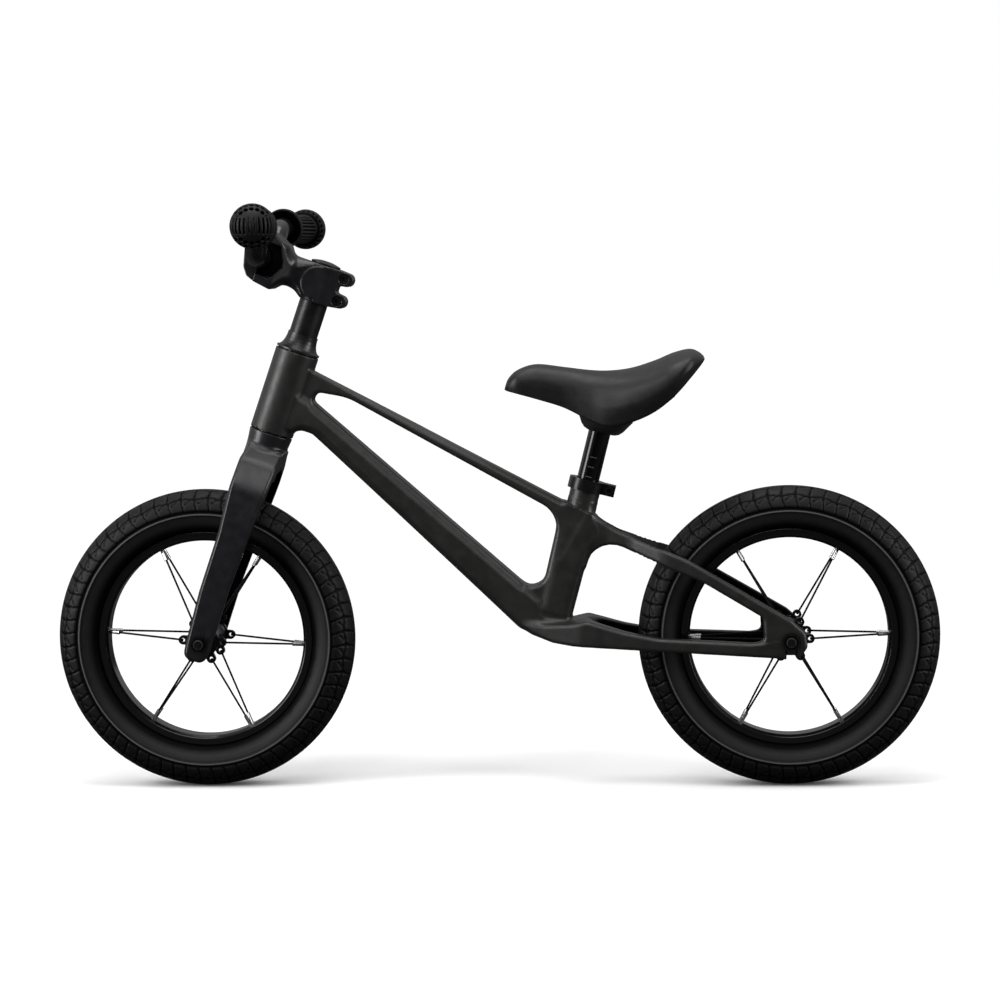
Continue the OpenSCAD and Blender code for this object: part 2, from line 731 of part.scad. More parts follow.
module frame() {
    color([0.16, 0.16, 0.16])
        difference() {
            union() {
                on_head(head_s)
                    cylinder(d = head_d, h = head_l, $fn = 96);
                difference() {
                    intersection() {
                        side(rounded(top_outline), top_tube_w);
                        bevelled_beam(seat_pt(125.3, 19) + 60 * unit(top_line_back),
                                      head_pt(head_top, -22) - 40 * unit(top_line_back),
                                      400, 1, top_tube_w);
                    }
                    side(rounded(front_opening), top_tube_w + 2);
                }
                intersection() {
                    side(rounded(down_outline), down_tube_w);
                    bevelled_beam(seat_pt(24, 17.2) + 150 * unit(down_line_back),
                                  head_pt(259.3, -31.5) - 40 * unit(down_line_back),
                                  400, 0, down_tube_w);
                }
                stay_pair(seatstay_outline, seatstay_plan);
                stay_pair(chainstay_outline, chainstay_plan);
                on_seat(100)
                    cylinder(d = collar_d, h = collar_s - 100, $fn = 64);
                on_seat(-4)
                    cylinder(d = collar_d + 4, h = 110, $fn = 64);
            }
            // Head tube: a seat for each bearing, and a clear bore between
            on_head(head_s - 1) {
                cylinder(d = headset_d + 2 * seat_fit, h = headset_h + 1, $fn = 64);
                cylinder(d = headset_d - 5, h = head_l + 2, $fn = 64);
                translate([0, 0, head_l - headset_h + 1])
                    cylinder(d = headset_d + 2 * seat_fit, h = headset_h + 1, $fn = 64);
            }
            // Seatpost bore with the slit behind it
            on_seat(14)
                cylinder(d = post_d + 2 * fit, h = collar_s, $fn = 64);
            on_seat(collar_s - 24)
                translate([-collar_d, -1, 0])
                    cube([collar_d, 2, 30]);
            // Axle slots, open below
            at_wheel(rear_x)
                rotate([90, 0, 0])
                    linear_extrude(3 * plate_out, center = true)
                        union() {
                            circle(d = slot_w, $fn = 48);
                            translate([-slot_w / 2, -30])
                                square([slot_w, 30]);
                        }
        }
}

module headset_bearing() {
    tube(headset_d, steerer_d + 2 * fit + 3, headset_h);
}

module headset_upper_bearing() {
    color([0.6, 0.6, 0.6])
        on_head(head_top - headset_h)
            headset_bearing();
}

module headset_lower_bearing() {
    color([0.6, 0.6, 0.6])
        on_head(head_s)
            headset_bearing();
}

clamp_s = collar_s + 1.5 - clamp_h;    // the clamp's lip stands over the collar
clamp_r = collar_d / 2 + clamp_t;
ear_x = -clamp_r - 4.5;                // the clamp bolt's place
ear_w = 16;                            // width across both ears
ear_gap = 2.5;

module seat_clamp() {
    color([0.12, 0.12, 0.12])
        on_seat(clamp_s)
            difference() {
                union() {
                    cylinder(r = clamp_r, h = clamp_h, $fn = 64);
                    translate([ear_x - 6, -ear_w / 2, 0])
                        cube([clamp_r + 6, ear_w, clamp_h]);
                }
                translate([0, 0, -1])
                    cylinder(d = collar_d + 2 * seat_fit, h = clamp_h - 0.4, $fn = 64);
                cylinder(d = post_d + 1.4, h = clamp_h + 2, $fn = 64);
                translate([ear_x - 10, -ear_gap / 2, -1])
                    cube([clamp_r + 6, ear_gap, clamp_h + 2]);
                translate([ear_x, 0, clamp_h / 2])
                    along_y()
                        cylinder(d = 5 + 2 * seat_fit, h = 40, center = true, $fn = 32);
            }
}

module seat_clamp_bolt() {
    color([0.3, 0.3, 0.3])
        on_seat(clamp_s + clamp_h / 2, ear_x)
            translate([0, ear_w / 2, 0])
                along_y()
                    socket_screw(5, ear_w + 4, 8.5, 3.5);
}

module seat_clamp_nut() {
    color([0.3, 0.3, 0.3])
        on_seat(clamp_s + clamp_h / 2, ear_x)
            translate([0, -ear_w / 2 - 4, 0])
                along_y()
                    tube(9, 5 + 2 * fit, 4);
}

// ---------------------------------------------------------------- fork

leg_in = hub_w / 2;
leg_out = leg_in + leg_t;
crown_s = wheel_r + 14;        // underside of the crown

function fork_pt(s, x) = [x, s];

// Side view of the crown and a leg, in the steering axis's own frame
leg_side = [
    [fork_pt(crown_top - 14, 16), 0], [fork_pt(crown_top - 30, 17), 20],
    [fork_pt(crown_top - 66, 16.5), 60], [fork_pt(crown_top - 106, 14.4), 60],
    [fork_pt(50, 14.2), 60], [fork_pt(-6, 10.8), 6], [fork_pt(-19, 9), 8],
    [fork_pt(-19, -12), 8], [fork_pt(-4, -14.6), 6], [fork_pt(60, -13.8), 60],
    [fork_pt(crown_top - 86, -17.2), 60], [fork_pt(crown_top - 50, -19.5), 30],
    [fork_pt(crown_top - 14, -21), 0]
];

// Front view: the crown arches from leg to leg, one side
arch_front = [
    [[0, crown_top - 12], 0], [[20, crown_top - 12], 0], [[22.3, crown_top - 18], 8],
    [[leg_out - 6, crown_top - 33], 16], [[leg_out, crown_s], 60], [[leg_out, -30], 0],
    [[leg_in, -30], 0], [[leg_in, 30], 20], [[leg_in - 1, crown_s - 20], 12],
    [[26, crown_s + 3], 16],
    [[0, crown_s + 6], 0]
];

module fork() {
    color([0.13, 0.13, 0.15])
        on_head()
            difference() {
                union() {
                    intersection() {
                        side(rounded(leg_side), 2 * leg_out + 2);
                        rotate([90, 0, 90])
                            linear_extrude(80, center = true)
                                union() {
                                    polygon(rounded(arch_front));
                                    mirror([1, 0])
                                        polygon(rounded(arch_front));
                                }
                    }
                    translate([0, 0, crown_top - 30])
                        cylinder(d1 = head_d - 5, d2 = head_d - 4, h = 12, $fn = 96);
                    translate([0, 0, crown_top - 18])
                        cylinder(d1 = head_d - 4, d2 = head_d, h = 18, $fn = 96);
                }
                // Seat of the steerer tube
                translate([0, 0, crown_s + 14])
                    cylinder(d = steerer_d, h = head_s, $fn = 64);
                translate([-axis_lead, 0, 0])
                    along_y()
                        cylinder(d = axle_d + 2 * seat_fit, h = 4 * leg_out, center = true,
                                 $fn = 48);
            }
}

module steerer_tube() {
    color([0.5, 0.5, 0.5])
        on_head(crown_s + 14)
            tube(steerer_d, steerer_d - 2 * steerer_t, stem_top - 3 - crown_s - 14);
}

// The race sits on the crown and fills the lower bearing's bore
module crown_race() {
    color([0.6, 0.6, 0.6])
        on_head(crown_top)
            difference() {
                union() {
                    cylinder(d = headset_d - 4, h = head_gap - 0.3, $fn = 64);
                    cylinder(d = steerer_d + 3, h = headset_h, $fn = 64);
                }
                translate([0, 0, -1])
                    cylinder(d = steerer_d + 2 * seat_fit, h = headset_h + 2, $fn = 64);
            }
}

module compression_ring() {
    color([0.6, 0.6, 0.6])
        on_head(cone_s - headset_h)
            tube(steerer_d + 3, steerer_d + 2 * seat_fit, headset_h);
}

// Flared cap: the head tube's width at its foot, the spacer's at its top
module headset_cone() {
    color([0.13, 0.13, 0.15])
        on_head(cone_s)
            rotate_extrude($fn = 96)
                polygon(concat(
                    [[steerer_d / 2 + seat_fit, 0], [head_d / 2, 0], [head_d / 2, 1.6]],
                    [for (a = [0 : 15 : 90])
                        [spacer_d / 2 + 1 + (head_d / 2 - spacer_d / 2 - 1) * (1 - sin(a)),
                         1.6 + (cone_h - 2.6) * (1 - cos(a))]],
                    [[spacer_d / 2 + 1, cone_h], [steerer_d / 2 + seat_fit, cone_h]]));
}

module stem_spacer() {
    color([0.13, 0.13, 0.15])
        on_head(spacer_s)
            tube(spacer_d, steerer_d + 2 * seat_fit, spacer_l);
}

// ---------------------------------------------------------------- stem

bar_at = head_pt(bar_s, stem_reach);   // the handlebar's place in the side view
split = 0.8;                           // gap between stem and faceplate
plate_bolt_s = 18;                     // faceplate bolts above and below the bar
plate_bolt_x = 3;                      // where their heads sit, ahead of the bar
plate_bolt_y = 13.5;                   // and how far from the middle
plate_bolt_d = 4;
stem_bolt_s = [8, 31];                 // bolts of the steerer clamp, above its foot
stem_bolt_x = -22.5;
ear_y = 9;                             // half the width across the clamp's ears

// Places beside the handlebar, along the stem's own directions
function clamp_pt(x, s) = head_pt(bar_s + s, stem_reach + x);

stem_outline = [
    [head_pt(stem_s, 14.5), 4], [head_pt(stem_s, -15), 3],
    [head_pt(stem_s + 2.5, -32), 6.2], [head_pt(stem_s + 14, -32), 6.2],
    [head_pt(stem_s + 15.5, -19), 3], [head_pt(stem_s + 23, -19), 3],
    [head_pt(stem_s + 25, -32), 6.2], [head_pt(stem_s + 37, -32), 6.2],
    [head_pt(stem_top, -17), 3], [clamp_pt(-47, 11.5), 20],
    [clamp_pt(-30, 12), 10], [clamp_pt(-24, 20), 6], [clamp_pt(-18, 21), 10],
    [clamp_pt(-8, 26.7), 3], [clamp_pt(0.1, 26.7), 1], [clamp_pt(0.1, -24.6), 1],
    [clamp_pt(-18.5, -27.8), 1.5], [clamp_pt(-28, -19), 12], [clamp_pt(-40, -21), 20]
];

face_outline = [
    [clamp_pt(0.1 + split, 26.7), 1], [clamp_pt(6, 25), 4], [clamp_pt(13, 15.5), 8],
    [clamp_pt(16.6, 3), 8], [clamp_pt(12.4, -14), 8], [clamp_pt(7, -21.6), 6],
    [clamp_pt(0.1 + split, -24.6), 1]
];

// The hollow behind the bar, at each side of the stem's handlebar clamp
hollow_outline = [
    [clamp_pt(1, 17.2), 0], [clamp_pt(-17.5, 16.5), 2.5], [clamp_pt(-24, -3), 3],
    [clamp_pt(-15.5, -18), 2.5], [clamp_pt(1, -16.3), 0]
];
hollow_depth = 8;

module bar_clamp_cuts() {
    translate([bar_at.x, 0, bar_at.y])
        along_y()
            cylinder(d = bar_d + 2 * fit, h = 100, center = true, $fn = 64);
}

// Faceplate bolts point along the stem; +Z is towards the front
module plate_bolt_places() {
    for (y = [-1, 1], s = [-1, 1])
        on_head(bar_s + s * plate_bolt_s, stem_reach + plate_bolt_x)
            translate([0, y * plate_bolt_y, 0])
                rotate([0, 90, 0])
                    children();
}

// Half-widths of the stem in its plan, along the line from steerer to handlebar
stem_plan = [
    [[-60, ear_y], 0], [[-22, ear_y], 2], [[-19, stem_w / 2], 8], [[13, stem_w / 2], 6],
    [[24, 16], 20], [[34, 16], 10], [[42, bar_clamp_w / 2], 4],
    [[110, bar_clamp_w / 2], 0]
];

module stem_body() {
    intersection() {
        side(rounded(stem_outline), bar_clamp_w + 2);
        on_head(stem_s - 40)
            linear_extrude(140)
                polygon(concat([[-60, 0]], rounded(stem_plan), [[110, 0]]));
    }
}

module stem() {
    color([0.13, 0.13, 0.15])
        difference() {
            both_sides()
                stem_body();
            on_head(stem_s - 1)
                cylinder(d = steerer_d + 2 * seat_fit, h = stem_h + 10, $fn = 64);
            on_head(stem_s - 10)
                translate([-60, -1, 0])
                    cube([60, 2, stem_h + 20]);
            bar_clamp_cuts();
            both_sides()
                translate([0, bar_clamp_w / 2, 0])
                    side(rounded(hollow_outline), 2 * hollow_depth);
            plate_bolt_places()
                translate([0, 0, -18 - plate_bolt_x])
                    cylinder(d = plate_bolt_d + 2 * seat_fit, h = 40, $fn = 32);
            for (s = stem_bolt_s)
                on_head(stem_s + s, stem_bolt_x) {
                    along_y()
                        cylinder(d = 5 + 2 * seat_fit, h = 80, center = true, $fn = 32);
                    for (y = [-1, 1])
                        translate([0, y * (ear_y + 10), 0])
                            along_y()
                                cylinder(d = 9.5, h = 20, center = true, $fn = 32);
                }
        }
}

module stem_faceplate() {
    color([0.13, 0.13, 0.15])
        difference() {
            side(rounded(face_outline), bar_clamp_w);
            bar_clamp_cuts();
            plate_bolt_places() {
                translate([0, 0, -20])
                    cylinder(d = plate_bolt_d + 2 * seat_fit, h = 40, $fn = 32);
                cylinder(d = 7.6, h = 20, $fn = 32);
            }
        }
}

module faceplate_bolts() {
    color([0.2, 0.2, 0.2])
        plate_bolt_places()
            socket_screw(plate_bolt_d, 16 + plate_bolt_x, 7, 3.5);
}

module stem_bolts() {
    color([0.2, 0.2, 0.2])
        for (s = stem_bolt_s)
            on_head(stem_s + s, stem_bolt_x)
                translate([0, ear_y + 0.2, 0])
                    along_y()
                        socket_screw(5, 17, 8.5, 3);
}

cap_h = 4;
cap_r = 46;    // radius of the cap's dome

module stem_cap() {
    color([0.1, 0.1, 0.1])
        on_head(stem_top + 0.2)
            difference() {
                intersection() {
                    cylinder(d = 30, h = cap_h, $fn = 64);
                    translate([0, 0, cap_h - cap_r])
                        sphere(r = cap_r, $fn = 96);
                }
                translate([0, 0, -1])
                    cylinder(d = 6 + 2 * seat_fit, h = cap_h + 2, $fn = 32);
                translate([0, 0, cap_h - 2.5])
                    cylinder(d = 11, h = cap_h, $fn = 32);
            }
}

module stem_cap_bolt() {
    color([0.25, 0.25, 0.25])
        on_head(stem_top + cap_h - 2.3)
            socket_screw(6, 26, 10, 2);
}

// Fins grip the steerer's wall, and the cap's bolt screws into the middle
module star_nut() {
    color([0.6, 0.6, 0.6])
        on_head(stem_top - 22)
            difference() {
                union() {
                    cylinder(d = 11, h = 9, $fn = 32);
                    for (z = [0, 6])
                        translate([0, 0, z])
                            cylinder(d = steerer_d - 2 * steerer_t - 2 * fit, h = 1.2, $fn = 64);
                }
                translate([0, 0, -1])
                    cylinder(d = 6 + 2 * fit, h = 12, $fn = 32);
            }
}

// ---------------------------------------------------------------- handlebar

// Corners of the handlebar's middle line on the left, from the clamp outwards
bar_y1 = bar_flat + bar_bend_r * tan(bar_slope / 2);
bar_y2 = bar_y1 + bar_rise / tan(bar_slope);
sweep_dir = [-sin(bar_sweep), cos(bar_sweep), 0];
bar_run = (bar_w / 2 - bar_y2) / cos(bar_sweep);    // from the last corner to the grip's end
bar_line = [[0, 0, 0], [0, bar_y1, 0], [-bar_back, bar_y2, bar_rise],
            [-bar_back, bar_y2, bar_rise] + (bar_run - bar_end_gap) * sweep_dir];

// How much of a straight length its bend at corner i takes
function bend_cut(p, i, r) = (i == 0 || i == len(p) - 1) ? 0 :
    r * tan(acos(unit(p[i] - p[i - 1]) * unit(p[i + 1] - p[i])) / 2);

// Round bar along a line of corners, bent to radius r at each. The bends are a
// hair thicker than the straight lengths, which run a little way into them.
bend_swell = 0.1;
bend_run = 1;
module bent_bar(p, r, d) {
    for (i = [0 : len(p) - 2]) {
        u = unit(p[i + 1] - p[i]);
        a = p[i] + u * max(bend_cut(p, i, r) - bend_run, 0);
        b = p[i + 1] - u * max(bend_cut(p, i + 1, r) - bend_run, 0);
        translate(a)
            rotate([0, acos(u.z), atan2(u.y, u.x)])
                cylinder(d = d, h = norm(b - a), $fn = 48);
    }
    for (i = [1 : len(p) - 2]) {
        u = unit(p[i] - p[i - 1]);
        v = unit(p[i + 1] - p[i]);
        w = unit(v - (u * v) * u);
        z = cross(u, w);
        c = p[i] - u * bend_cut(p, i, r) + w * r;
        multmatrix([[-w.x, u.x, z.x, c.x], [-w.y, u.y, z.y, c.y], [-w.z, u.z, z.z, c.z]])
            rotate_extrude(angle = acos(u * v), $fn = 96)
                translate([r, 0])
                    circle(d = d + bend_swell, $fn = 48);
    }
}

module handlebar() {
    color([0.09, 0.09, 0.1])
        translate([bar_at.x, 0, bar_at.y])
            both_sides()
                difference() {
                    bent_bar(bar_line, bar_bend_r, bar_d);
                    bent_bar(bar_line, bar_bend_r, bar_d - 2 * bar_t);
                }
}

module left_grip() {
    color([0.08, 0.08, 0.08])
        grip();
}

module right_grip() {
    color([0.08, 0.08, 0.08])
        mirror([0, 1, 0])
            grip();
}

module grip() {
    translate([bar_at.x, 0, bar_at.y] + bar_line[2] + (bar_run - grip_l) * sweep_dir)
        rotate([-90, 0, bar_sweep])
            difference() {
                rotate_extrude($fn = 96)
                    polygon(concat(
                        [[0, 0], [disc_d / 2 - 1.5, 0], [disc_d / 2, 1.5],
                         [disc_d / 2, 3.5], [disc_d / 2 - 1.5, 5], [grip_d / 2 + 2, 6],
                         [grip_d / 2, 9], [grip_d / 2, grip_l - ball_d / 2 - 15]],
                        [for (i = [0 : 20])
                            let (a = 134 * i / 20 - 44)
                            [ball_d / 2 * cos(a),
                             grip_l - ball_d / 2 + ball_d / 2 * sin(a)]]));
                translate([0, 0, -1])
                    cylinder(d = bar_d + 2 * seat_fit, h = grip_l - bar_end_gap + 1.5,
                             $fn = 64);
            }
}

// ---------------------------------------------------------------- seat

module seatpost() {
    color([0.05, 0.05, 0.05])
        on_seat(post_s - post_l)
            tube(post_d, post_d - 2 * post_t, post_l);
}

module seatpost_plug() {
    color([0.1, 0.1, 0.1])
        on_seat(post_s - post_l) {
            translate([0, 0, -2])
                cylinder(d = post_d - 0.4, h = 2, $fn = 48);
            cylinder(d = post_d - 2 * post_t - 2 * seat_fit, h = 10, $fn = 48);
        }
}

// Threaded insert in the seatpost's upper end
module seatpost_insert() {
    color([0.6, 0.6, 0.6])
        on_seat(post_s - 16)
            tube(post_d - 2 * post_t - 2 * seat_fit, 6 + 2 * fit, 16);
}

// Saddle: its own foot is where the post enters the base
saddle_foot = seat_pt(200, 0);
function saddle_pt(x, z) = saddle_foot + [x, z];

// Stations from nose to tail: [distance ahead of the foot, top, lower edge,
// share of the tail's half-width, share of the nose's half-width]
saddle_stations = [
    [94, 46, 42.6, 0.04, 0.3], [90, 55, 42, 0, 0.7], [80, 63.5, 39.5, 0, 0.95],
    [62, 68.5, 34.5, 0, 1], [35, 65.5, 26, 0.02, 1], [10, 62.3, 14, 0.16, 0.95],
    [-10, 61.5, 8, 0.36, 0.8], [-32, 64, 11.5, 0.62, 0.5], [-55, 71, 22, 0.85, 0.2],
    [-75, 79, 37, 0.96, 0.04], [-92, 82, 54, 0.9, 0], [-102, 76, 66, 0.6, 0]
];
saddle_steps = 3;                      // rings from one station to the next
skirt = 5;                             // thickness of the cover around the base
recess = base_t + 1;                   // depth of the cover's hollow for the base

saddle_top = spline([for (k = saddle_stations) saddle_pt(k[0], k[1])], saddle_steps);
saddle_edge = spline([for (k = saddle_stations) saddle_pt(k[0], k[2])], saddle_steps);
saddle_half = [for (p = spline([for (i = [0 : len(saddle_stations) - 1])
    let (k = saddle_stations[i])
    [i, k[3] * saddle_w / 2 + k[4] * nose_w / 2]], saddle_steps)) p.y];

// Half the width of the hollow, at ring i
function hollow_half(i) = max(0.93 * saddle_half[i] - skirt, 0.5 * saddle_half[i]);

// Depth of the hollow at ring i; the cover is closed at its nose and tail
function hollow_depth_at(i, rise) =
    i < 2 || i > len(saddle_edge) - 5 ? 0.3 : min(recess, 0.4 * rise);

// Ring i of the cover, from its right skirt over the top to its left one, and
// back through the hollow
function saddle_ring(i, n) =
    let (t = saddle_top[i], e = saddle_edge[i].y, half = saddle_half[i],
         rise = t.y - e, deep = hollow_depth_at(i, rise), side = e + 0.3 * rise,
         over = [for (k = [0 : n])
             let (a = 180 * k / n, c = cos(a))
             [t.x, half * sign(c) * pow(abs(c), 0.8), side + (t.y - side) * pow(sin(a), 0.75)]])
    concat([[t.x, 0.93 * half, e]], over, [[t.x, -0.93 * half, e]],
           [for (y = [-1, 1], k = y < 0 ? [0, 1] : [1, 0])
               [t.x, y * (hollow_half(i) - k), e + k * deep]]);

module saddle_cover() {
    arc = 24;
    n = arc + 7;
    m = len(saddle_top);
    pts = [for (i = [0 : m - 1]) each saddle_ring(i, arc)];
    faces = concat(
        [[for (j = [n - 1 : -1 : 0]) j]],
        [for (i = [0 : m - 2], j = [0 : n - 1]) [i * n + j, i * n + n + (j + 1) % n, i * n + n + j]],
        [for (i = [0 : m - 2], j = [0 : n - 1])
            [i * n + j, i * n + (j + 1) % n, i * n + n + (j + 1) % n]],
        [[for (j = [0 : n - 1]) (m - 1) * n + j]]);
    color([0.09, 0.09, 0.1])
        difference() {
            polyhedron(pts, faces, convexity = 6);
            // Room for the base's socket
            on_seat(200)
                cylinder(r = socket_r + 0.5, h = socket_top + 2.5 - 200, $fn = 48);
        }
}

socket_r = post_d / 2 + 3.5;           // outside of the base's socket for the post
socket_top = post_s + 7;
boss_s = 200.5;                        // underside of the base's boss

// Plate inside the cover's hollow
module base_plate() {
    first = saddle_steps;
    last = len(saddle_edge) - 1 - 2 * saddle_steps;
    lift = [0, 0.6];
    top = [for (i = [first : last]) saddle_edge[i] + lift + [0, base_t]];
    bottom = [for (i = [last : -1 : first]) saddle_edge[i] + lift];
    plan = [for (i = [first + 1 : last]) [saddle_edge[i].x, hollow_half(i) - 1 - soft_gap]];
    intersection() {
        side(concat(top, bottom), saddle_w);
        linear_extrude(4 * wheel_r)
            polygon(concat(plan, [for (i = [len(plan) - 1 : -1 : 0]) [plan[i].x, -plan[i].y]]));
    }
}

module saddle_base() {
    last = len(saddle_edge) - 1 - 2 * saddle_steps;
    color([0.13, 0.13, 0.14])
        difference() {
            union() {
                base_plate();
                // Bowl under the plate
                intersection() {
                    on_seat(boss_s, -1.5)
                        rotate_extrude($fn = 64)
                            polygon([[0, 0], [14.5, 0], [18, 1.5], [21.5, 5], [28.5, 16.5],
                                     [28.5, 40], [0, 40]]);
                    side(concat([for (i = [saddle_steps : last])
                                    saddle_edge[i] + [0, 0.6 + base_t / 2]],
                                [saddle_pt(-50, -40), saddle_pt(60, -40)]), saddle_w);
                }
                on_seat(boss_s + 2)
                    cylinder(r = socket_r, h = socket_top - boss_s - 2, $fn = 48);
            }
            on_seat(boss_s - 1)
                cylinder(d = post_d + 2 * seat_fit, h = post_s - boss_s + 1.2, $fn = 64);
            on_seat(post_s - 1)
                cylinder(d = 6 + 2 * seat_fit, h = 20, $fn = 32);
            on_seat(socket_top - 3)
                cylinder(d = 12, h = 10, $fn = 32);
        }
}

module saddle_bolt() {
    color([0.4, 0.4, 0.4])
        on_seat(socket_top - 3)
            socket_screw(6, 16, 10, 4);
}

frame();
headset_upper_bearing();
headset_lower_bearing();
seat_clamp();
seat_clamp_bolt();
seat_clamp_nut();
rear_axle();
rear_axle_nuts();
rear_axle_washers();
rear_axle_spacers();
fork();
steerer_tube();
crown_race();
headset_cone();
compression_ring();
stem_spacer();
stem();
stem_faceplate();
faceplate_bolts();
stem_bolts();
stem_cap();
stem_cap_bolt();
star_nut();
front_axle();
front_axle_nuts();
front_axle_washers();
front_axle_spacers();
handlebar();
left_grip();
right_grip();
front_tyre();
front_inner_tube();
front_valve();
front_rim_tape();
front_rim();
front_hub();
front_hub_bearings();
front_spokes();
front_nipples();
rear_tyre();
rear_inner_tube();
rear_valve();
rear_rim_tape();
rear_rim();
rear_hub();
rear_hub_bearings();
rear_spokes();
rear_nipples();
seatpost();
seatpost_plug();
seatpost_insert();
saddle_base();
saddle_cover();
saddle_bolt();
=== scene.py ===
"""Looks of a child's balance bike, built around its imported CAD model.

Lengths are in millimetres in the shape functions and become metres where a mesh is made.
+X is forward, +Y the rider's left, +Z up; the origin is on the ground between the axles.
"""

import math

import bpy
import numpy as np
from bpy.props import FloatProperty, FloatVectorProperty, IntProperty, PointerProperty
from mathutils import Matrix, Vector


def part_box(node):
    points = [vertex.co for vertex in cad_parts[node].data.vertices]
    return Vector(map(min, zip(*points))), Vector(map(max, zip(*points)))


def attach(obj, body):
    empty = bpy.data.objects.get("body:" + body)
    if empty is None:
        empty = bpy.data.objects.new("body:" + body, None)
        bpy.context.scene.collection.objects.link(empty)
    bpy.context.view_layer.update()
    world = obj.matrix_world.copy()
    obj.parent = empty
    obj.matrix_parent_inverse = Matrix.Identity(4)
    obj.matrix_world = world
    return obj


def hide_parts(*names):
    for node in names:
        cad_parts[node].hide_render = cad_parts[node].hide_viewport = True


bl_info = {
    "name": "Balance Bike",
    "version": (1, 0, 0),
    "blender": (4, 5, 0),
    "location": "View3D > Sidebar > Balance Bike",
    "description": "Builds the visible pieces and finishes of a child's balance bike",
    "category": "Add Mesh",
}

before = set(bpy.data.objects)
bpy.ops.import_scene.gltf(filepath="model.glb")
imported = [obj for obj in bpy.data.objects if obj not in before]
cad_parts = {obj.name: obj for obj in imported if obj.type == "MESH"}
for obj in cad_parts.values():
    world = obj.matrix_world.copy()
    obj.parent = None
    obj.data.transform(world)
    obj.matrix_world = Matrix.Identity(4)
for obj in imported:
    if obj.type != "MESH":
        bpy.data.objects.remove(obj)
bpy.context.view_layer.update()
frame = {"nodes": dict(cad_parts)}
NODES = frame["nodes"]
MM = 0.001


# ---- sizes and places


def centre_of(node):
    """Middle of a CAD node's box, in millimetres."""
    low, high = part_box(node)
    return (np.array(low) + np.array(high)) / 2 / MM


FRONT_AXLE = centre_of("front_rim")
REAR_AXLE = centre_of("rear_rim")
REAR_X = REAR_AXLE[0]
TYRE_R = FRONT_AXLE[2]
# The steering axis passes HEAD_LEAD ahead of the front axle; the seat tube's starts at SEAT_FOOT
HEAD_LEAN, HEAD_LEAD = math.radians(19.1), 2.6
SEAT_LEAN, SEAT_FOOT = math.radians(14.2), np.array([-56.0, 160.0])

# Places along the steering axis, up from the front axle
HEAD_S = 218.4
HEAD_TOP = HEAD_S + 84
CROWN_TOP = HEAD_S - 1
HEADSET_GAP, CONE_H, SPACER_H = 1, 17.5, 34.5
STEM_S = HEAD_TOP + HEADSET_GAP + CONE_H + SPACER_H
BAR_S, BAR_X = STEM_S + 26, 62.4


def turned(along, up, lean):
    """Turns (ahead, up) of a leaning axis into (x, z)."""
    c, s = math.cos(lean), math.sin(lean)
    return along * c - up * s, along * s + up * c


def head_pt(s, x):
    """Point s up the steering axis and x ahead of it, as (X, Z)."""
    a, b = turned(HEAD_LEAD + x, s, HEAD_LEAN)
    return FRONT_AXLE[0] + a, TYRE_R + b


def seat_pt(s, x):
    """Point s up the seat tube's axis and x ahead of it, as (X, Z)."""
    a, b = turned(x, s, SEAT_LEAN)
    return SEAT_FOOT[0] + a, SEAT_FOOT[1] + b


def beside(x, y):
    """A place whose points are measured from (x, y)."""
    return lambda a, b: (x + a, y + b)


# The rear axle from the side and from above; the others lie in the steering axis's directions
rear_pt, rear_plan = beside(REAR_X, TYRE_R), beside(REAR_X, 0)
crown_pt, stem_pt, bar_pt = beside(0, CROWN_TOP), beside(0, STEM_S), beside(BAR_X, BAR_S)


def at(place, *corners):
    """Corners (a, b, radius) in a place's own directions, as (x, y, radius)."""
    return [(*place(a, b), radius) for a, b, radius in corners]


def head_frame(x, z):
    """(ahead of the steering axis, up it) of points (X, Z)."""
    a, b = turned(x - FRONT_AXLE[0], z - TYRE_R, -HEAD_LEAN)
    return a - HEAD_LEAD, b


def seat_frame(x, z):
    """(ahead of the seat tube's axis, up it) of points (X, Z)."""
    return turned(x - SEAT_FOOT[0], z - SEAT_FOOT[1], -SEAT_LEAN)


# ---- shape fields
# A field is a signed distance in millimetres, negative inside. Fields take arrays that
# broadcast, so the same function serves a whole grid and a list of points.


def smin(a, b, k):
    """Smooth union: the smaller of two fields, with a fillet of about k."""
    h = np.clip(0.5 + 0.5 * (b - a) / k, 0, 1)
    return b + (a - b) * h - k * h * (1 - h)


def smax(a, b, k):
    """Smooth intersection: the larger of two fields, with the edge rounded by about k."""
    return -smin(-a, -b, k)


def round_max(a, b, radius):
    """Overlap of two shapes with its edge rounded to a true arc."""
    past = np.hypot(np.maximum(a + radius, 0), np.maximum(b + radius, 0))
    return np.minimum(np.maximum(a, b), -radius) + past


def chamfered(a, b, width, k):
    """Intersection of two fields, its edge cut by a 45 degree face and then rounded."""
    return smax(smax(a, b, k), (a + b + width) * math.sqrt(0.5), k)


def rounded(corners, steps=7):
    """Outline through corners (x, y, radius), each turned into an arc of that radius."""
    found = []
    pts = np.array(corners, float)[:, :2]
    for i, (_, _, radius) in enumerate(corners):
        b = pts[i]
        u, v = pts[i - 1] - b, pts[(i + 1) % len(pts)] - b
        u, v = u / np.linalg.norm(u), v / np.linalg.norm(v)
        if radius == 0:
            found.append(b[None])
            continue
        half = math.acos(np.clip(u @ v, -1, 1)) / 2
        middle = b + (u + v) / np.linalg.norm(u + v) * radius / math.sin(half)
        first = b + u * radius / math.tan(half) - middle
        turn = -np.sign(u[0] * v[1] - u[1] * v[0]) * (math.pi - 2 * half)
        a = math.atan2(first[1], first[0]) + turn * np.linspace(0, 1, steps + 1)
        found.append(middle + radius * np.stack([np.cos(a), np.sin(a)], 1))
    return np.concatenate(found)


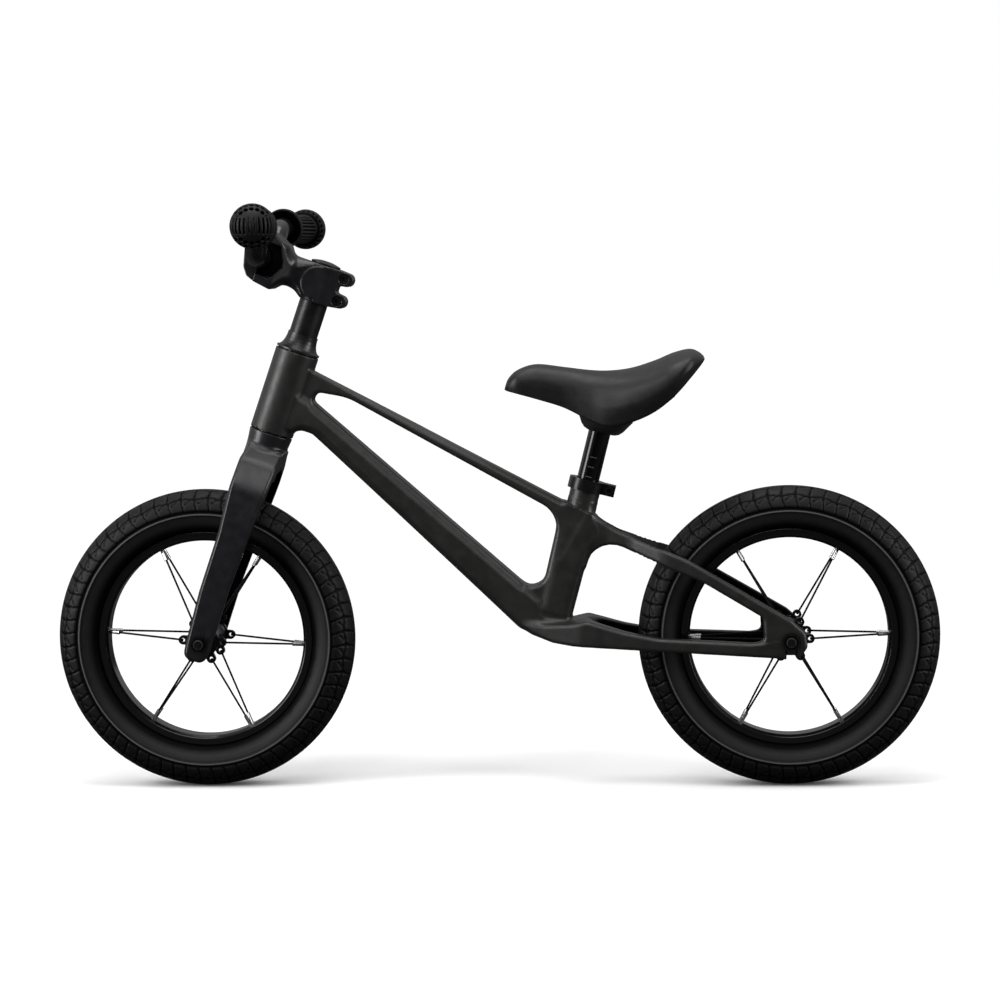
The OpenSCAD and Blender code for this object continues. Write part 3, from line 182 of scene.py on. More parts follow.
class Outline:
    """Signed distance to a closed outline. It is worked out once on a grid and then
    looked up by interpolation, which keeps a field with many outlines quick."""

    def __init__(self, corners, pitch=0.8, margin=24):
        p = rounded(corners)
        self.pitch = pitch
        self.low = p.min(0) - margin
        count = ((p.max(0) + margin - self.low) / pitch).astype(int) + 2
        x = self.low[0] + pitch * np.arange(count[0])[:, None]
        y = self.low[1] + pitch * np.arange(count[1])[None, :]
        nearest = np.full(count, np.inf)
        sign = np.ones(count)
        for a, b in zip(p, np.roll(p, -1, 0)):
            e = b - a
            if e @ e < 1e-12:
                continue
            wx, wy = x - a[0], y - a[1]
            t = np.clip((wx * e[0] + wy * e[1]) / (e @ e), 0, 1)
            nearest = np.minimum(nearest, (wx - e[0] * t) ** 2 + (wy - e[1] * t) ** 2)
            above, below = y >= a[1], y < b[1]
            left = e[0] * wy > e[1] * wx
            flip = (above & below & left) | (~above & ~below & ~left)
            sign = np.where(flip, -sign, sign)
        self.grid = sign * np.sqrt(nearest)

    def __call__(self, x, y):
        u = np.clip((x - self.low[0]) / self.pitch, 0, self.grid.shape[0] - 1.001)
        v = np.clip((y - self.low[1]) / self.pitch, 0, self.grid.shape[1] - 1.001)
        i, j = u.astype(int), v.astype(int)
        u, v = u - i, v - j
        g = self.grid
        low = g[i, j] * (1 - u) + g[i + 1, j] * u
        high = g[i, j + 1] * (1 - u) + g[i + 1, j + 1] * u
        return low * (1 - v) + high * v


CORNERS = np.array([[i, j, k] for i in (0, 1) for j in (0, 1) for k in (0, 1)])
CELL_EDGES = [
    (a, b) for a in range(8) for b in range(a + 1, 8) if abs(CORNERS[a] - CORNERS[b]).sum() == 1
]


def surface_net(field, xs, ys, zs):
    """Closed quad mesh where the field is zero, on a grid with the given levels. Each cell
    that the surface passes through gets one point, the mean of its edges' crossings, and
    each grid edge that the surface crosses gets one quad. The points then move onto the
    surface along the field's slope, which also gives their normals."""
    axes = [np.asarray(a, float) for a in (xs, ys, zs)]
    f = field(axes[0][:, None, None], axes[1][None, :, None], axes[2][None, None, :])
    f = np.broadcast_to(f, [len(a) for a in axes])
    inside = f < 0
    shape = np.array(f.shape) - 1
    corner_of = [inside[tuple(slice(c, c + n) for c, n in zip(k, shape))] for k in CORNERS]
    count = sum(c.astype(np.int8) for c in corner_of)
    mixed = (count > 0) & (count < 8)
    index = np.full(mixed.shape, -1)
    index[mixed] = np.arange(mixed.sum())
    cells = np.argwhere(mixed)
    corner = cells[:, None, :] + CORNERS[None]
    value = f[corner[..., 0], corner[..., 1], corner[..., 2]]
    place = np.stack([axes[k][corner[..., k]] for k in range(3)], -1)
    total = np.zeros((len(cells), 3))
    hits = np.zeros((len(cells), 1))
    for a, b in CELL_EDGES:
        va, vb = value[:, a], value[:, b]
        crossed = (va < 0) != (vb < 0)
        t = np.where(crossed, va / np.where(crossed, va - vb, 1), 0)[:, None]
        total += crossed[:, None] * (place[:, a] * (1 - t) + place[:, b] * t)
        hits += crossed[:, None]
    points = total / hits
    quads = []
    for axis, (u, v) in enumerate(((1, 2), (2, 0), (0, 1))):
        low, high = [slice(1, -1)] * 3, [slice(1, -1)] * 3
        low[axis], high[axis] = slice(None, -1), slice(1, None)
        a, b = inside[tuple(low)], inside[tuple(high)]
        for sign, hit in ((1, a & ~b), (-1, ~a & b)):
            where = np.argwhere(hit)
            where[:, u] += 1
            where[:, v] += 1
            around = []
            for du, dv in ((-1, -1), (0, -1), (0, 0), (-1, 0))[::sign]:
                cell = where.copy()
                cell[:, u] += du
                cell[:, v] += dv
                around.append(index[cell[:, 0], cell[:, 1], cell[:, 2]])
            quads.append(np.stack(around, 1))
    probe, furthest, flattest = 0.3, 0.6, 0.3
    for _ in range(2):
        here = field(*points.T)
        ahead = [field(*(points + probe * np.eye(3)[k]).T) for k in range(3)]
        slope = (np.stack(ahead, 1) - here[:, None]) / probe
        size = (slope**2).sum(1)
        points -= np.clip(here / np.maximum(size, flattest), -furthest, furthest)[:, None] * slope
    normals = slope / np.maximum(np.sqrt(size), 1e-6)[:, None]
    return points, np.concatenate(quads), normals


def levels(low, high, pitch):
    """Grid levels from low to high, about a pitch apart."""
    return np.linspace(low, high, int(math.ceil((high - low) / pitch)) + 1)


def levels_about_slit(width, pitch, slit=1.0):
    """Levels across the bike, with two of them close to each face of a slit in the middle."""
    half = np.concatenate([[slit - 0.5], levels(slit + 0.5, width, pitch)])
    return np.concatenate([-half[::-1], half])


# ---- frame

TOP_W, DOWN_W = 13.5, 17.5
STAY_IN, STAY_OUT, STAY_T = 30.5, 43.5, 13.0
PLATE_IN, PLATE_OUT = 40.0, 52.0
HEAD_R, HEAD_BORE_R, BEARING_R, BEARING_DEPTH = 22, 16.5, 19.1, 7
COLLAR_R, COLLAR_TOP, POST_BORE_R, POST_BORE_FOOT = 15, 150.5, 11.15, 14
SLIT_FOOT, AXLE_SLOT_R = 126.5, 4.5
# The web's swelling at the seat tube, the collar's slanting crease, and how far the web
# reaches over it
WEB_SWELL, WEB_SWELL_X = 2, 26
CREASE_S, CREASE_SLOPE, WEB_OVER = 112, 0.24, 9.5

FRONT_OPENING = [
    *at(head_pt, (270.6, -27.6, 8), (275.8, -62.3, 60)),
    *at(seat_pt, (112, 18.7, 26), (24, 17.2, 16.5)), *at(head_pt, (259.3, -31.5, 5)),
]
TOP_OUTLINE = [
    *at(head_pt, (HEAD_TOP - 8, -10, 0), (HEAD_TOP - 9.5, -22, 2), (269, -155, 1500)),
    *at(seat_pt, (125.3, 19, 2), (131, 15.5, 2), (131, -15, 2), (117, -15.5, 3), (100, -32, 20),
        (84, -17.4, 4), (10, -16, 3), (-5, -16, 0), (-8, 30, 0)),
    *at(head_pt, (230, -40, 0), (230, -10, 0)),
]
SEAT_OUTLINE = at(
    seat_pt, (112, 18.4, 6), (112, -17, 6), (84, -17.4, 4), (8, -16, 3), (-5, -16, 4),
    (-6, 28, 6), (24, 17.2, 6))
DOWN_OUTLINE = [
    *at(head_pt, (265, -10, 0), (259.3, -31.5, 0)),
    *at(seat_pt, (24, 17.2, 0), (12, 12, 8), (10, -16, 3), (-12, -18, 4), (-13.1, -5, 20),
        (-8, 30.5, 30)),
    *at(head_pt, (232.5, -44.5, 45), (HEAD_S + 14, -30, 8), (HEAD_S + 6.5, -22, 3),
        (HEAD_S + 4, -10, 0)),
]
SEATSTAY_OUTLINE = [
    *at(seat_pt, (122, -8, 0), (117.5, -16, 0)),
    *at(rear_pt, (169, 106.5, 30), (142, 96, 60), (101, 80.5, 120), (0, 21.5, 12), (-15, 8, 9),
        (-16.5, -6, 8), (-9, -16.5, 4), (5, -16.5, 0), (42, -7, 0), (26, -3.4, 10),
        (27.5, 23.3, 6), (85, 57, 60), (142.8, 80.5, 80)),
    *at(seat_pt, (101, -17.4, 29), (79, -16.9, 0), (60, -11, 0), (66, 8, 0)),
]
CHAINSTAY_OUTLINE = [
    *at(seat_pt, (-3, 26, 0), (2, 8, 8), (9, -14, 6)),
    *at(rear_pt, (200, 19, 12), (164, 8.8, 60), (130, 2.2, 60), (38, -1.8, 4), (24, 0, 0),
        (0, 6, 0), (0, -16.5, 0), (4.8, -17.5, 0), (216, -6.5, 12)),
    *at(seat_pt, (-13.1, -5, 0), (-10, 18, 10)),
]
SEATSTAY_PLAN = [
    (seat_pt(60, 12)[0], -20, 0), (seat_pt(60, 12)[0], TOP_W, 0),
    *at(rear_plan, (180, TOP_W, 20), (158, 19, 40), (124, 38, 50), (92, STAY_OUT, 50),
        (14, PLATE_OUT, 40), (-20, PLATE_OUT, 0), (-20, PLATE_IN, 0), (18, PLATE_IN, 10),
        (36, PLATE_OUT - STAY_T, 10), (95, STAY_IN, 30), (130, 24.5, 30), (150, 13, 16),
        (163, 0, 0), (163, -20, 0)),
]
CHAINSTAY_PLAN = [
    (seat_pt(0, 42)[0], -20, 0), (seat_pt(0, 42)[0], DOWN_W - 3, 0),
    (seat_pt(0, 28)[0], DOWN_W, 20),
    *at(rear_plan, (206, 39, 30), (150, STAY_OUT, 60), (14, PLATE_OUT, 60), (-20, PLATE_OUT, 0),
        (-20, PLATE_IN, 0), (18, PLATE_IN, 10), (30, PLATE_OUT - STAY_T, 10), (150, STAY_IN, 50),
        (190, 20, 16), (199, 0, 0), (199, -20, 0)),
]


def frame_shape(sizes):
    """Field of the cast frame: each tube is a side outline cut to its width, with chamfered edges,
    and the tubes run into each other with fillets."""
    opening, top, down, seat = (
        Outline(o) for o in (FRONT_OPENING, TOP_OUTLINE, DOWN_OUTLINE, SEAT_OUTLINE))
    seatstay, seatstay_plan, chainstay, chainstay_plan = (
        Outline(o) for o in (SEATSTAY_OUTLINE, SEATSTAY_PLAN, CHAINSTAY_OUTLINE, CHAINSTAY_PLAN))
    chamfer, edge = sizes.frame_chamfer / MM, sizes.frame_edge / MM
    stay_chamfer = 2.2
    head_mid, head_half = (HEAD_S + HEAD_TOP) / 2, (HEAD_TOP - HEAD_S) / 2

    def tube(outline, open_space, width_out, outer, inner):
        """A tube of a half width, chamfered along its outline and along the opening."""
        return np.maximum(
            chamfered(outline, width_out, outer, edge), chamfered(-open_space, width_out, inner, edge))

    def field(x, y, z):
        ay = np.abs(y)
        hx, hs = head_frame(x, z)
        sx, ss = seat_frame(x, z)
        around_head, around_seat = np.hypot(hx, y), np.hypot(sx, y)
        from_mid = np.abs(hs - head_mid)
        open_space = opening(x, z)
        head = smax(around_head - HEAD_R, from_mid - head_half, 0.4)
        # The web thickens round the seat tube, and stops at the collar's slanting crease
        web_w = TOP_W + WEB_SWELL * np.exp(-((sx / WEB_SWELL_X) ** 2))
        web = tube(top(x, z), open_space, ay - web_w, 0.62 * chamfer, 0.36 * chamfer)
        crease = CREASE_S + CREASE_SLOPE * sx
        web = np.maximum(web, np.minimum(ss - WEB_OVER - crease, around_seat - COLLAR_R + 0.2))
        post_w = np.interp(ss, [4, 16, 62, 92], [DOWN_W - 3, DOWN_W, DOWN_W - 1, TOP_W])
        post = round_max(seat(x, z), ay - post_w, 10)
        post = np.maximum(post, chamfered(-open_space, ay - post_w, chamfer, edge))
        beam = tube(down(x, z), open_space, ay - DOWN_W, 0.7 * chamfer, chamfer)
        collar = smax(around_seat - COLLAR_R, np.maximum(ss - COLLAR_TOP, crease - ss), 0.8)
        # The stays: side outline against plan, and the plate where both plans overlap
        upper, lower = seatstay(x, z), chainstay(x, z)
        upper_plan, lower_plan = seatstay_plan(x, ay), chainstay_plan(x, ay)
        inner = np.interp(
            x - REAR_X, [30, 95, 130, 150, 163], [PLATE_OUT - STAY_T, STAY_IN, 24.5, 13, 0])
        stays = chamfered(upper, upper_plan, stay_chamfer, edge)
        stays = np.maximum(stays, 0.7 * (upper + inner - ay + 8))
        low_stays = chamfered(lower, lower_plan, stay_chamfer, edge)
        both_plans = np.maximum(upper_plan, lower_plan)
        dropout = chamfered(smin(upper, lower, 4), both_plans, stay_chamfer, edge)
        rear = np.minimum(smin(stays, low_stays, 1), dropout)
        body = smin(web, post, 4)
        for part, fillet in ((beam, 4), (rear, 7), (head, 2.5), (collar, 1.2)):
            body = smin(body, part, fillet)
        bore = np.maximum(around_seat - POST_BORE_R, POST_BORE_FOOT - ss)
        body = smax(body, -bore, 0.6)
        slit = np.maximum(np.maximum(ay - 1, sx), SLIT_FOOT - ss)
        body = np.maximum(body, -slit)
        bearing = np.maximum(around_head - BEARING_R, head_half - BEARING_DEPTH - from_mid)
        body = np.maximum(body, -np.minimum(around_head - HEAD_BORE_R, bearing))
        rx, rz = x - REAR_X, z - TYRE_R
        slot = np.where(rz > 0, np.hypot(rx, rz), np.abs(rx)) - AXLE_SLOT_R
        return smax(body, -slot, 0.6)

    return field


# ---- fork
# In the steering axis's own directions: x ahead, y left, s up

LEG_IN, LEG_OUT = 40.0, 52.0
CROWN_S = TYRE_R + 14
STEERER_BORE_R, FRONT_HOLE_R = 12.7, 4.1
LEG_SIDE = [
    *at(crown_pt, (16, -14, 0), (18.6, -30, 20), (18.2, -60, 60), (14.4, -106, 60)),
    (14.2, 50, 60), (10.8, -6, 6), (9, -19, 8), (-12, -19, 8), (-14.6, -4, 6), (-13.8, 60, 60),
    *at(crown_pt, (-17.2, -86, 60), (-19.5, -50, 30), (-21, -14, 0)),
]
ARCH_FRONT = [
    *at(crown_pt, (-20, -12, 0), (20, -12, 0), (21.5, -17, 8), (38, -30, 24), (48.5, -54, 50),
        (LEG_OUT, -92, 160)),
    (LEG_OUT, -30, 0), (LEG_IN, -30, 0), (LEG_IN, 30, 20), (LEG_IN - 1, CROWN_S - 20, 12),
    (26, CROWN_S + 3, 16), (0, CROWN_S + 6, 0), (-20, CROWN_S + 6, 0),
]
CROWN_POCKET = [
    (LEG_IN, -30, 0), (LEG_IN, CROWN_S - 14, 30), (33, CROWN_S + 14, 12), (0, CROWN_S + 27, 0),
    (-20, CROWN_S + 27, 0), (-20, -30, 0),
]


def fork_shape():
    """Field of the fork: a leg's side outline crossed with the front outline of crown and legs,
    with thinly bevelled edges, under a flared collar. Behind the steerer the arch is cut
    higher, to a pocket."""
    leg, arch, pocket = (Outline(o) for o in (LEG_SIDE, ARCH_FRONT, CROWN_POCKET))

    def field(x, y, s):
        ay = np.abs(y)
        around = np.hypot(x, y)
        legs = chamfered(leg(x, s), arch(ay, s), 2.8, 0.7)
        hollow = np.maximum(np.maximum(pocket(ay, s), x + 7), 18 - around)
        legs = smax(legs, -hollow, 1.5)
        radius = np.interp(s, [CROWN_TOP - 40, CROWN_TOP - 18, CROWN_TOP], [19, 20, HEAD_R])
        collar = smax(around - radius, np.abs(s - CROWN_TOP + 17) - 17, 1.0)
        body = np.maximum(smin(legs, collar, 6), s - CROWN_TOP)
        bore = np.maximum(around - STEERER_BORE_R, CROWN_S + 14 - s)
        axle = np.hypot(x + HEAD_LEAD, s) - FRONT_HOLE_R
        return np.maximum(smax(body, -axle, 0.5), -bore)

    return field


# ---- stem

STEM_OUTLINE = [
    *at(stem_pt, (14.5, 0, 2), (-15, 0, 3), (-32, 2.5, 6.2), (-32, 14, 6.2), (-19, 15.5, 3),
        (-19, 23, 3), (-32, 25, 6.2), (-32, 37, 6.2), (-17, 38, 3)),
    *at(bar_pt, (-47, 11.5, 20), (-30, 12, 10), (-24, 20, 6), (-18, 21, 10), (-8, 26.7, 3),
        (0.1, 26.7, 1), (0.1, -24.6, 1), (-18.5, -27.8, 1.5), (-28, -19, 12), (-40, -21, 20)),
]
FACE_OUTLINE = at(
    bar_pt, (-1.2, 26.7, 0), (6, 25, 4), (13, 15.5, 8), (16.6, 3, 8), (12.4, -14, 8),
    (7, -21.6, 6), (-1.2, -24.6, 0))
HOLLOW_OUTLINE = at(
    bar_pt, (1, 17.2, 0), (-17.5, 16.5, 2.5), (-24, -3, 3), (-15.5, -18, 2.5), (1, -16.3, 0))
NECK_PLAN = [
    (0, -20, 0), (0, 14, 0), (20, 13.5, 20), (29, 14.5, 14), (44, 26, 5), (120, 26, 0),
    (120, -20, 0),
]
CHEEK_R, CHEEK_W, EAR_W = 17.0, 17.5, 10.5
CLAMP_R, CLAMP_CORE_R, CLAMP_BORE_R = 19, 15.8, 12.8
BAR_CLAMP_W, BAR_BORE_R = 26.0, 11.15
STEM_BOLTS = [(-22.5, STEM_S + 8), (-22.5, STEM_S + 31)]
STEM_BOLT_R, PLATE_BOLT_R = 4.8, 3.8
PLATE_BOLT_S, PLATE_BOLT_X, PLATE_BOLT_Y = 18.0, 3.0, 13.5


def without_bar(body, x, s):
    """A body with the handlebar's bore cut through it."""
    return smax(body, -(np.hypot(x - BAR_X, s - BAR_S) - BAR_BORE_R), 0.5)


def stem_shape():
    """Field of the stem: a round steerer clamp with two thin ears behind, a rounded neck, and a wide
    bar clamp with a hollow in each side."""
    side, neck, hollow = (Outline(o, 0.5) for o in (STEM_OUTLINE, NECK_PLAN, HOLLOW_OUTLINE))

    def field(x, y, s):
        ay = np.abs(y)
        around = np.hypot(x, y)
        profile = side(x, s)
        # Flat cheeks: round in front, and drawn in behind to the ears
        cheek = ay - np.interp(x, [-33, -6, 30], [EAR_W, CHEEK_W, CHEEK_W])
        disc = np.where(x > 0, np.hypot(x, s - STEM_S - 19) - CHEEK_R, -CHEEK_R)
        ears = smax(smax(cheek, disc, 0.8), profile, 1.2)
        arm = round_max(profile, neck(x, ay), 1.6 + 10.4 * np.exp(-(((x - 28) / 13) ** 2)))
        clamp = smax(around - CLAMP_R, profile, 1.6)
        clamp = np.maximum(np.maximum(clamp, x), ay - CHEEK_W + 0.5)
        clamp = np.minimum(clamp, smax(around - CLAMP_CORE_R, profile, 1.2))
        body = smin(np.minimum(clamp, ears), arm, 1.5)
        body = smax(body, -np.maximum(around - CLAMP_BORE_R, STEM_S - 5 - s), 0.5)
        body = np.maximum(body, -np.maximum(ay - 1, x))
        body = without_bar(body, x, s)
        pocket = np.maximum(hollow(x, s), BAR_CLAMP_W - 12 - ay)
        body = smax(body, -pocket, 0.8)
        for bx, bs in STEM_BOLTS:
            hole = np.hypot(x - bx, s - bs) - STEM_BOLT_R
            body = smax(body, -np.maximum(hole, 6 - ay), 0.5)
        return body

    return field


def faceplate_shape():
    """Field of the plate in front of the bar, with a rounded face and four bolt recesses."""
    face = Outline(FACE_OUTLINE, 0.4)

    def field(x, y, s):
        ay = np.abs(y)
        body = without_bar(smax(face(x, s), ay - BAR_CLAMP_W, 1.2), x, s)
        for sign in (-1, 1):
            hole = np.hypot(ay - PLATE_BOLT_Y, s - BAR_S - sign * PLATE_BOLT_S) - PLATE_BOLT_R
            body = smax(body, -np.maximum(hole, BAR_X + PLATE_BOLT_X - x), 0.5)
        return body

    return field


def from_head(points, normals):
    """Points and normals (ahead, left, up) of the steering axis as (X, Y, Z)."""
    x, z = head_pt(points[:, 2], points[:, 0])
    nx, nz = turned(normals[:, 0], normals[:, 2], HEAD_LEAN)
    return np.stack([x, points[:, 1], z], 1), np.stack([nx, normals[:, 1], nz], 1)


# ---- meshes


def mesh_piece(name, points, faces, body, material, replaced, triangles=None, normals=None):
    """A finished, closed piece from points in millimetres, quads, and maybe triangles. Its
    faces are turned outwards if they aren't already."""
    groups = [f for f in (faces, triangles) if f is not None]
    tris = np.concatenate([g[:, [0, k, k + 1]] for g in groups for k in range(1, g.shape[1] - 1)])
    a, b, c = (points[tris[:, k]] for k in range(3))
    if (np.cross(a, b) * c).sum() < 0:
        groups = [g[:, ::-1] for g in groups]
    mesh = bpy.data.meshes.new(name)
    mesh.vertices.add(len(points))
    mesh.vertices.foreach_set("co", (points * MM).astype(np.float32).ravel())
    loops = np.concatenate([g.ravel() for g in groups]).astype(np.int32)
    sides = np.concatenate([np.full(len(g), g.shape[1], np.int32) for g in groups])
    mesh.loops.add(len(loops))
    mesh.loops.foreach_set("vertex_index", loops)
    mesh.polygons.add(len(sides))
    mesh.polygons.foreach_set("loop_start", np.cumsum(sides, dtype=np.int32) - sides)
    mesh.update(calc_edges=True)
    mesh.shade_smooth()
    if normals is not None:
        mesh.normals_split_custom_set_from_vertices(normals.tolist())
    mesh.materials.append(material)
    piece = bpy.data.objects.new(name, mesh)
    bpy.context.scene.collection.objects.link(piece)
    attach(piece, body)
    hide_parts(replaced)
    return piece


def net_piece(name, shape, grid, body, material, replaced, place=None):
    """A piece from a field and its grid's levels, moved to its place."""
    points, quads, normals = surface_net(shape, *grid)
    if place:
        points, normals = place(points, normals)
    mesh_piece(name, points, quads, body, material, replaced, normals=normals)


def grid_quads(rows, columns, close_rows=False):
    """Quads between the points of a grid, row by row. Each row is closed, and with
    close_rows the last row joins the first."""
    i = np.arange(rows if close_rows else rows - 1)[:, None]
    j = np.arange(columns)[None, :]
    i2, j2 = (i + 1) % rows, (j + 1) % columns
    corners = [i * columns + j, i2 * columns + j, i2 * columns + j2, i * columns + j2]
    return np.stack([c.ravel() for c in corners], 1)


def end_fans(rows, columns):
    """Triangles that close a grid of rings: the first ring with the point after the grid, and
    the last ring with the point after that."""
    first = np.arange(columns)
    last = first + (rows - 1) * columns
    hub = np.full(columns, rows * columns)
    return np.concatenate([
        np.stack([np.roll(first, -1), hub, first], 1),
        np.stack([last, hub + 1, np.roll(last, -1)], 1)])


def smooth_step(a, b, x):
    """0 below a, 1 above b, and a smooth ramp between."""
    t = np.clip((x - a) / (b - a), 0, 1)
    return t * t * (3 - 2 * t)


def stroke(distance, width):
    """1 within 0.35 of a width of a line, falling to 0 at 0.65 of it."""
    return 1 - smooth_step(0.35 * width, 0.65 * width, np.abs(distance))


# ---- tyre

SECTION_R = 24.5
SECTION_AT = TYRE_R - SECTION_R
TREAD_H, TREAD_FOOT = 1.3, 79.0
INNER_R = 21.3
# A foot's corners between the rim's flanges, as (radius from the axle, to the side)
TYRE_FOOT = np.array([[108.7, 14.4], [108.7, 11.5], [101.8, 11.5], [101.8, 7.3], [111.4, 7.3]])


def tyre_points(sizes):
    """The tyre's closed section, carried round the wheel. The section is a circle about its
    own middle, r = SECTION_AT + R cos a and y = R sin a, with a from the tread's crown. The
    tread's blocks stand on it, cut by grooves across and along, and a thin rib runs round
    each sidewall. The feet stand between the rim's flanges, and the inner wall is a smaller
    circle."""
    blocks = sizes.tread_blocks
    around = blocks * 12
    deep = sizes.tread_depth / MM
    turn = 2 * math.pi * np.arange(around)[:, None] / around
    wall = np.concatenate([np.linspace(83, 94, 7), np.linspace(97, 131, 6)])
    outer = np.concatenate([-wall[::-1], np.linspace(-80.5, 80.5, 58), wall])[None, :]
    degrees, side = np.abs(outer), np.sign(outer)
    mm_per_degree = math.radians(SECTION_R)
    # Where a point lies within its block, from 0 to 1 along the wheel, and which block
    along = turn * blocks / (2 * math.pi) + 0.3 * np.sin(np.radians(2 * degrees)) * side + 0.25 * side
    block = np.floor(along)
    part = along - block
    lean = (part - 0.5) * np.where(block % 2 > 0, 1, -1)
    pitch = 2 * math.pi * (SECTION_AT + SECTION_R * np.cos(np.radians(outer))) / blocks
    across = stroke(np.minimum(part, 1 - part) * pitch, 1.35) * (degrees > 15)
    sipe = 0.8 * stroke((degrees - 68 + 24 * part) * mm_per_degree, 1.1)
    sipe = sipe * (part > 0.2) * (part < 0.72) * (degrees > 50)
    groove = np.maximum(across, sipe)
    for line in (48 + 7 * lean, 16 - 5 * lean):
        groove = np.maximum(groove, stroke((degrees - line) * mm_per_degree, 1.4))
    tread = 1 - smooth_step(TREAD_FOOT, TREAD_FOOT + 2.4, degrees)
    rib = 0.8 * stroke((degrees - 88.5) * mm_per_degree, 2.2)
    sidewall = 0.5 * smooth_step(92, 104, degrees) - 0.4 * smooth_step(118, 131, degrees)
    radius = SECTION_R - TREAD_H - sidewall + tread * (TREAD_H - deep * groove) + rib * (1 - tread)
    angle = np.radians(outer)
    inner = np.radians(np.linspace(130, -130, 9))
    inside = np.stack([SECTION_AT + INNER_R * np.cos(inner), INNER_R * np.sin(inner)], 1)
    rest = np.concatenate([TYRE_FOOT, inside, TYRE_FOOT[::-1] * [1, -1]])
    flat = 0 * turn
    r = np.concatenate([SECTION_AT + radius * np.cos(angle), rest[:, 0] + flat], 1)
    y = np.concatenate([radius * np.sin(angle), rest[:, 1] + flat], 1)
    points = np.stack([r * np.cos(turn), y, r * np.sin(turn)], 2)
    return points.reshape(-1, 3), around, r.shape[1]


# ---- grip

GRIP_L, GRIP_R, DISC_R, BALL_R = 126.0, 15.0, 20.5, 21.2
BALL_AT = GRIP_L - BALL_R
BORE_R, BORE_L = 11.35, 115.5
RIB_DEPTH, HOLE_DEPTH = 1.7, 2.4
BAR_RISE, BAR_SWEEP, BAR_BACK = 28.5, math.radians(6), 6.0
# Where the bar's last straight length starts, and how long it is with its grip
BEND_Y, BEND_RUN = 83.47, 141.3
# Rings of holes on the ball: angle from its end, number, radius, and how high up they start
BALL_RINGS = ((49, 18, 6.0, 0.56), (67.5, 22, 6.0, 0.5), (87, 24, 5.2, 0.42), (112.5, 22, 5.6, 0.0))
BALL_SLOTS = 28
# The grip's profile from its bore's end to the foot of the ribs, as (along, radius)
DISC_PROFILE = np.array([
    (BORE_L, BORE_R), (0.9, BORE_R), (0.9, 18.1), (0.25, 18.7), (0.05, 19.5), (0.4, 20.2),
    (1.1, DISC_R), (4.0, DISC_R), (4.8, 20.1), (5.1, 19.2), (5.5, 17.0), (6.6, 15.5), (8.6, GRIP_R)])


def ball_depth(n):
    """How deep the ball's pattern goes, 0 to 1, in direction n (ahead, out, up): rings of
    round holes above, below and on the hand's side, and upright slots round the middle that
    fade at the end."""
    polar = np.degrees(np.arccos(np.clip(n[..., 1], -1, 1)))
    turn = np.degrees(np.arctan2(n[..., 0], n[..., 2]))
    depth = np.zeros(polar.shape)
    for ring, count, size, reach in BALL_RINGS:
        pitch = 360 / count
        off = (turn + pitch / 2) % pitch - pitch / 2
        ring_r = math.sin(math.radians(ring))
        hole = 1 - smooth_step(size - 1.0, size + 0.8, np.hypot(polar - ring, off * ring_r))
        depth = np.maximum(depth, hole * (np.abs(n[..., 2]) >= reach * ring_r))
    longitude = np.degrees(np.arctan2(n[..., 0], n[..., 1]))
    height = np.degrees(np.arcsin(np.clip(n[..., 2], -1, 1)))
    pitch = 360 / BALL_SLOTS
    off = longitude % pitch - pitch / 2
    slot = 1 - smooth_step(1.4, 2.9, np.abs(off) * np.cos(np.radians(height)))
    slot = slot * (1 - smooth_step(19, 22, np.abs(height))) * (np.abs(longitude) < 97)
    shallow = 0.25 + 0.75 * smooth_step(14, 30, np.abs(longitude))
    return np.maximum(depth, slot * shallow * (polar > 5))


def grip_points(side, sizes):
    """A closed grip, turned about its own axis as r(w): the bore, the disc with its thin rim,
    a ribbed length, and the ball with its pattern pressed in. side is 1 on the left, -1 on
    the right."""
    spin, ball_rows, rib_rows = 14 * sizes.grip_ribs, 110, 22
    shank = np.linspace(10.5, BALL_AT - 15.3, rib_rows)
    arc = np.radians(np.linspace(-44.8, 89.2, ball_rows))
    w = np.concatenate([DISC_PROFILE[:, 0], shank, BALL_AT + BALL_R * np.sin(arc)])[:, None]
    r = np.concatenate([DISC_PROFILE[:, 1], np.full(rib_rows, GRIP_R), BALL_R * np.cos(arc)])[:, None]
    rows = len(w)
    on_ball = np.arange(rows)[:, None] >= rows - ball_rows
    turn = 2 * math.pi * np.arange(spin)[None, :] / spin
    ribbed = smooth_step(8.6, 11, w) * (1 - smooth_step(shank[-2], shank[-1], w)) * (r > BORE_R + 1)
    valley = (1 - np.abs(np.cos(sizes.grip_ribs / 2 * turn))) ** 0.8
    radius = r - RIB_DEPTH * ribbed * valley
    x, z, along = radius * np.cos(turn), radius * np.sin(turn), w + 0 * turn
    n = np.stack([x, along - BALL_AT, z], -1) / BALL_R
    n = n / np.maximum(np.linalg.norm(n, axis=-1, keepdims=True), 1e-6)
    shrink = 1 - on_ball * ball_depth(n) * HOLE_DEPTH / BALL_R
    along = BALL_AT + (along - BALL_AT) * np.where(on_ball, shrink, 1)
    points = np.stack([x * shrink, along, z * shrink], -1).reshape(-1, 3)
    x, along, z = np.concatenate([points, [[0, BORE_L, 0], [0, GRIP_L - 0.02, 0]]]).T
    c, s = math.cos(BAR_SWEEP), math.sin(BAR_SWEEP)
    bar_x, bar_z = head_pt(BAR_S, BAR_X)
    run = BEND_RUN - GRIP_L + along
    x, y = bar_x - BAR_BACK - run * s + x * c, side * (BEND_Y + run * c + x * s)
    return np.stack([x, y, bar_z + BAR_RISE + z], 1), grid_quads(rows, spin), end_fans(rows, spin)


# ---- saddle

